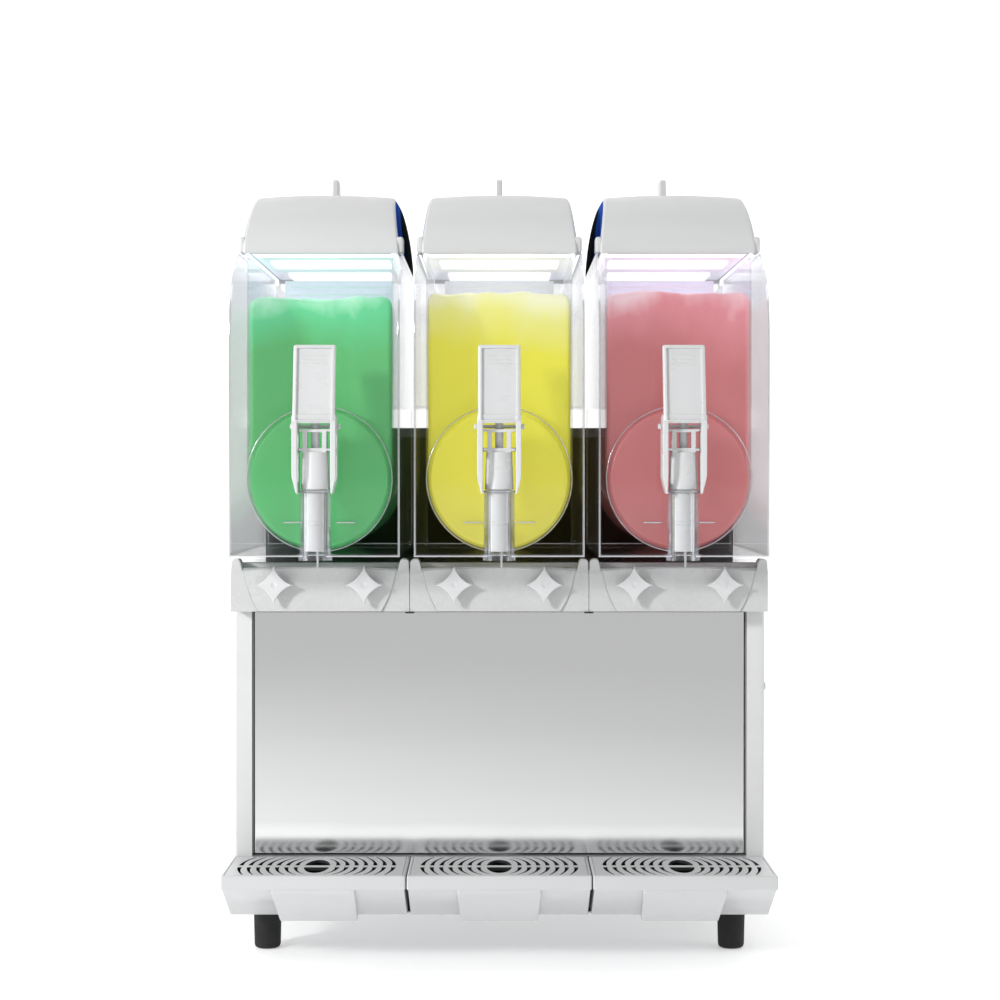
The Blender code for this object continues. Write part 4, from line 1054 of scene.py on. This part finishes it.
def make_grille(n, cx):
    """The grille, with painted shade on its slots' walls."""
    half = GRILLE_HALF - SLOT_MARGIN
    plate, body = shifted(grille_mesh(UNIT_X[1]), cx - UNIT_X[1]), f"drip_grille_{n}"
    obj = piece(f"grille_{n}", plate, [TRAY_WHITE, BLACK_AND_SHADE], body, replaces=[body])
    # painted shade: the upright walls of the slots get the black material
    for face in obj.data.polygons:
        x, y, z = face.center
        within = abs(x - cx) < half and GRILLE_LOW.y + 0.0015 < y < GRILLE_HIGH.y - 0.0015
        if within and abs(face.normal.z) < 0.5 and z < GRILLE_HIGH.z - 0.0004:
            face.material_index = 1


# -------- cabinet
GASKET_INNER, GASKET_OUTER = 0.2782, 0.2797
SIDE_X, SIDE_SPOTS = 0.3, ((-0.09, 0.12), (0.23, 0.12), (0.23, 0.3))
BACK_Y, BACK_COLUMNS, BACK_ROWS = 0.262, (-0.255, -0.085, 0.13, 0.255), (0.078, 0.372)
COVER_COLUMNS, COVER_SCREW_Z = (-0.27, -0.1, 0.1, 0.27), 0.47


def screw_head(name, centre, material=ZINC, radius=0.0042):
    """Low domed screw with a cross recess, facing the rear."""
    profile = [(0, 0.0018), (radius * 0.55, 0.0016), (radius * 0.9, 0.0009), (radius, 0.0), (0, -0.0004)]
    cross = [box((-radius * 0.6, -0.0005, 0.0006), (radius * 0.6, 0.0005, 0.003)),
             box((-0.0005, -radius * 0.6, 0.0006), (0.0005, radius * 0.6, 0.003))]
    head = shaped(lathe(profile, ORIGIN, segments=32), cuts=cross)
    head.transform(Matrix.Translation(centre) @ facing((0, 1, 0)))
    piece(name, head, material, "root")


def make_front():
    """Steel panel with a grey gasket along each upright edge."""
    skin = slab(PANEL_LOW, PANEL_HIGH, 0.0006)
    piece("steel_panel", skin, STEEL, "root", ["front_panel"])
    for side, label in SIDES:
        low, high = across(0.0, side, GASKET_INNER, GASKET_OUTER)
        gap = box((low, PANEL_LOW.y + 0.0004, PANEL_LOW.z), (high, PANEL_HIGH.y, PANEL_HIGH.z))
        piece(f"panel_gasket_{label}", gap, SEAM, "root")


def make_deck_plate():
    low = (DECK_LOW.x + 0.004, DECK_LOW.y + 0.0006, DECK_HIGH.z + 0.0001)
    high = (DECK_HIGH.x - 0.004, COVER_LOW.y - 0.001, DECK_HIGH.z + 0.0011)
    piece("deck_plate", slab(low, high, 0.0005, 2), POLISHED, "root")


def make_foot(name, node):
    """Tapered rubber foot with a groove below its top."""
    low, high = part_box(node)
    x, y, top = (low.x + high.x) / 2, (low.y + high.y) / 2, high.z
    profile = [(0, top), (0.0158, top), (0.016, top - 0.0008), (0.0158, top - 0.012)]
    profile += [(0.0154, top - 0.0128), (0.0154, top - 0.015), (0.016, top - 0.0158)]
    profile += [(0.015, 0.0045), (0.0141, 0.0014), (0.0118, 0.0), (0, 0.0)]
    piece(name, lathe(profile, (x, y, 0)), RUBBER, "root", [node])


def make_side_screws():
    """Low round screw heads on the side panels."""
    head = [(0, 0.0032), (0.003, 0.0032), (0.0042, 0.0022), (0.0046, -0.0002), (0, -0.0002)]
    for side, label in SIDES:
        for spot, (y, z) in enumerate(SIDE_SPOTS):
            mesh = lathe(head, ORIGIN, segments=32)
            mesh.transform(Matrix.Translation((side * SIDE_X, y, z)) @ facing((side, 0, 0)))
            piece(f"side_screw_{label}_{spot}", mesh, ZINC, "root")


def make_back():
    """Screws round the rear wall and along the foot of the motor cover."""
    for number, (x, z) in enumerate((x, z) for x in BACK_COLUMNS for z in BACK_ROWS):
        screw_head(f"back_screw_{number}", (x, BACK_Y, z))
    for number, x in enumerate(COVER_COLUMNS):
        screw_head(f"cover_screw_{number}", (x, COVER_HIGH.y, COVER_SCREW_Z), BLACK_AND_SHADE)


CARRIED = {    # CAD nodes that keep their shape, by material
    "chassis": ZINC, "side_panel_left": PAINT, "side_panel_right": PAINT, "top_deck": PAINT,
    "motor_cover": HOUSING, "compressor": ENAMEL, "condenser": ZINC, "fan_motor": ZINC,
    "condenser_fan": BLACK_AND_SHADE, "refrigerant_line": COPPER, "control_box": ZINC,
    "power_inlet": BLACK_AND_SHADE, "power_switch": BLACK_AND_SHADE, "front_panel": STEEL,
}
for n in UNITS:
    CARRIED |= {f"tank_seal_{n}": SILICONE, f"evaporator_{n}": STEEL}
    CARRIED |= {f"auger_{n}": WHITE, f"gearmotor_{n}": ZINC}


def dress_cad_nodes():
    for node, material in CARRIED.items():
        mesh = NODES[node].data
        mesh.materials.clear()
        mesh.materials.append(material)


# -------- floor, lights and camera
CAMERA_X, CAMERA_HEIGHT = 0.0008, 0.543
CAMERA_DISTANCE = 2.5    # from the front edges of the clear shells
CAMERA_PITCH = 0.669    # degrees down
FOCAL_MM, SENSOR_MM = 83.25, 36.0
ROOM_LEVEL, BACKDROP_LEVEL, FADE_START, FADE_END = 0.3, 1.0, -0.5, 0.6
FLOOR_Z, FLOOR_REACH, FLOOR_GLOW = -0.0005, 40.0, 0.36
FLOOR_TONES = (0.83, 0.83, 0.83), (0.85, 0.85, 0.85)
SWEEP_Y, SWEEP_R, SWEEP_TOP = 1.6, 1.6, 6.0    # where the floor curves up, how gently and how far
LIGHTS = (    # name, place, target, size and power
    ("key", (-2.2, -2.3, 1.45), (0, -0.1, 0.5), (0.4, 0.4), 62.0),
    ("top", (0.0, -0.8, 2.6), (0, -0.1, 0.3), (1.8, 1.0), 5.0),
    ("backdrop_wash", (0.0, 0.9, 2.6), (0, 3.2, 0.9), (4.0, 1.2), 30.0),
    ("strip_left", (-1.6, -0.5, 0.9), (0, 0, 0.55), (0.2, 1.6), 5.0),
    ("strip_right", (1.6, -0.5, 0.9), (0, 0, 0.55), (0.2, 1.6), 5.0),
)


def make_floor():
    """Pale sweep: a flat floor that curves up into the backdrop."""
    corner = arc(SWEEP_Y, SWEEP_R + FLOOR_Z, SWEEP_R, 270, 360, 24)
    profile = [(-FLOOR_REACH, FLOOR_Z)] + corner + [(SWEEP_Y + SWEEP_R, SWEEP_TOP)]
    bm = bmesh.new()
    rows = [[bm.verts.new((x, y, z)) for y, z in profile] for x in (-FLOOR_REACH, FLOOR_REACH)]
    for i in range(len(profile) - 1):
        bm.faces.new((rows[0][i], rows[1][i], rows[1][i + 1], rows[0][i + 1]))
    mesh = bpy.data.meshes.new("floor")
    bm.to_mesh(mesh)
    bm.free()
    mesh.shade_smooth()
    floor = linked("floor", mesh)
    s = Shader("floor_white")
    s.tint(s.noise(2.0, 2.0), *FLOOR_TONES)
    s.set(Roughness=0.6, Emission_Color=(1.0, 1.0, 1.0, 1.0), Emission_Strength=FLOOR_GLOW)
    mesh.materials.append(s.material)


def add_light(name, place, target, size, power):
    light = bpy.data.lights.new(name, "AREA")
    light.shape = "RECTANGLE"
    light.size, light.size_y = size
    light.energy = power
    obj = linked(name, light)
    obj.location = place
    obj.rotation_euler = (Vector(target) - Vector(place)).to_track_quat("-Z", "Y").to_euler()


def make_world():
    """White backdrop behind the machine, softer grey room in front of it."""
    world = bpy.data.worlds.new("studio")
    world.use_nodes = True
    tree = world.node_tree
    background = tree.nodes["Background"]
    fill(background, Color=(1.0, 1.0, 1.0, 1.0))
    place = tree.nodes.new("ShaderNodeTexCoord").outputs["Generated"]
    split = tree.nodes.new("ShaderNodeSeparateXYZ")
    tree.links.new(place, split.inputs["Vector"])
    fade = tree.nodes.new("ShaderNodeMapRange")
    fade.interpolation_type = "SMOOTHSTEP"
    fill(fade, From_Min=FADE_START, From_Max=FADE_END, To_Min=ROOM_LEVEL, To_Max=BACKDROP_LEVEL)
    tree.links.new(split.outputs["Y"], fade.inputs["Value"])
    tree.links.new(fade.outputs["Result"], background.inputs["Strength"])
    bpy.context.scene.world = world


def make_camera():
    data = bpy.data.cameras.new("photo_camera")
    data.lens, data.sensor_width = FOCAL_MM, SENSOR_MM
    camera = linked("photo_camera", data)
    camera.location = (CAMERA_X, SHELL_LOW.y - CAMERA_DISTANCE, CAMERA_HEIGHT)
    camera.rotation_euler = (radians(90 - CAMERA_PITCH), 0, 0)
    bpy.context.scene.camera = camera
    bpy.context.scene.view_settings.view_transform = "Standard"


make_camera()
make_world()
for light in LIGHTS:
    add_light(*light)
make_floor()
dress_cad_nodes()
make_front()
make_deck_plate()
make_side_screws()
make_back()
make_clips()
for foot in ("front_left", "front_right", "rear_left", "rear_right"):
    make_foot(f"rubber_{foot}", f"foot_{foot}")
UNIT_STEPS = (make_lid, make_shell, make_tank, make_tower, make_slush, make_lever, make_piston, make_fascia)
for n in UNITS:
    for make in UNIT_STEPS:
        make(n, UNIT_X[n])
    for side, label in SIDES:
        make_knob(n, UNIT_X[n], side, label)
    make_tray(n, TRAY_X[n])
    make_grille(n, TRAY_X[n])
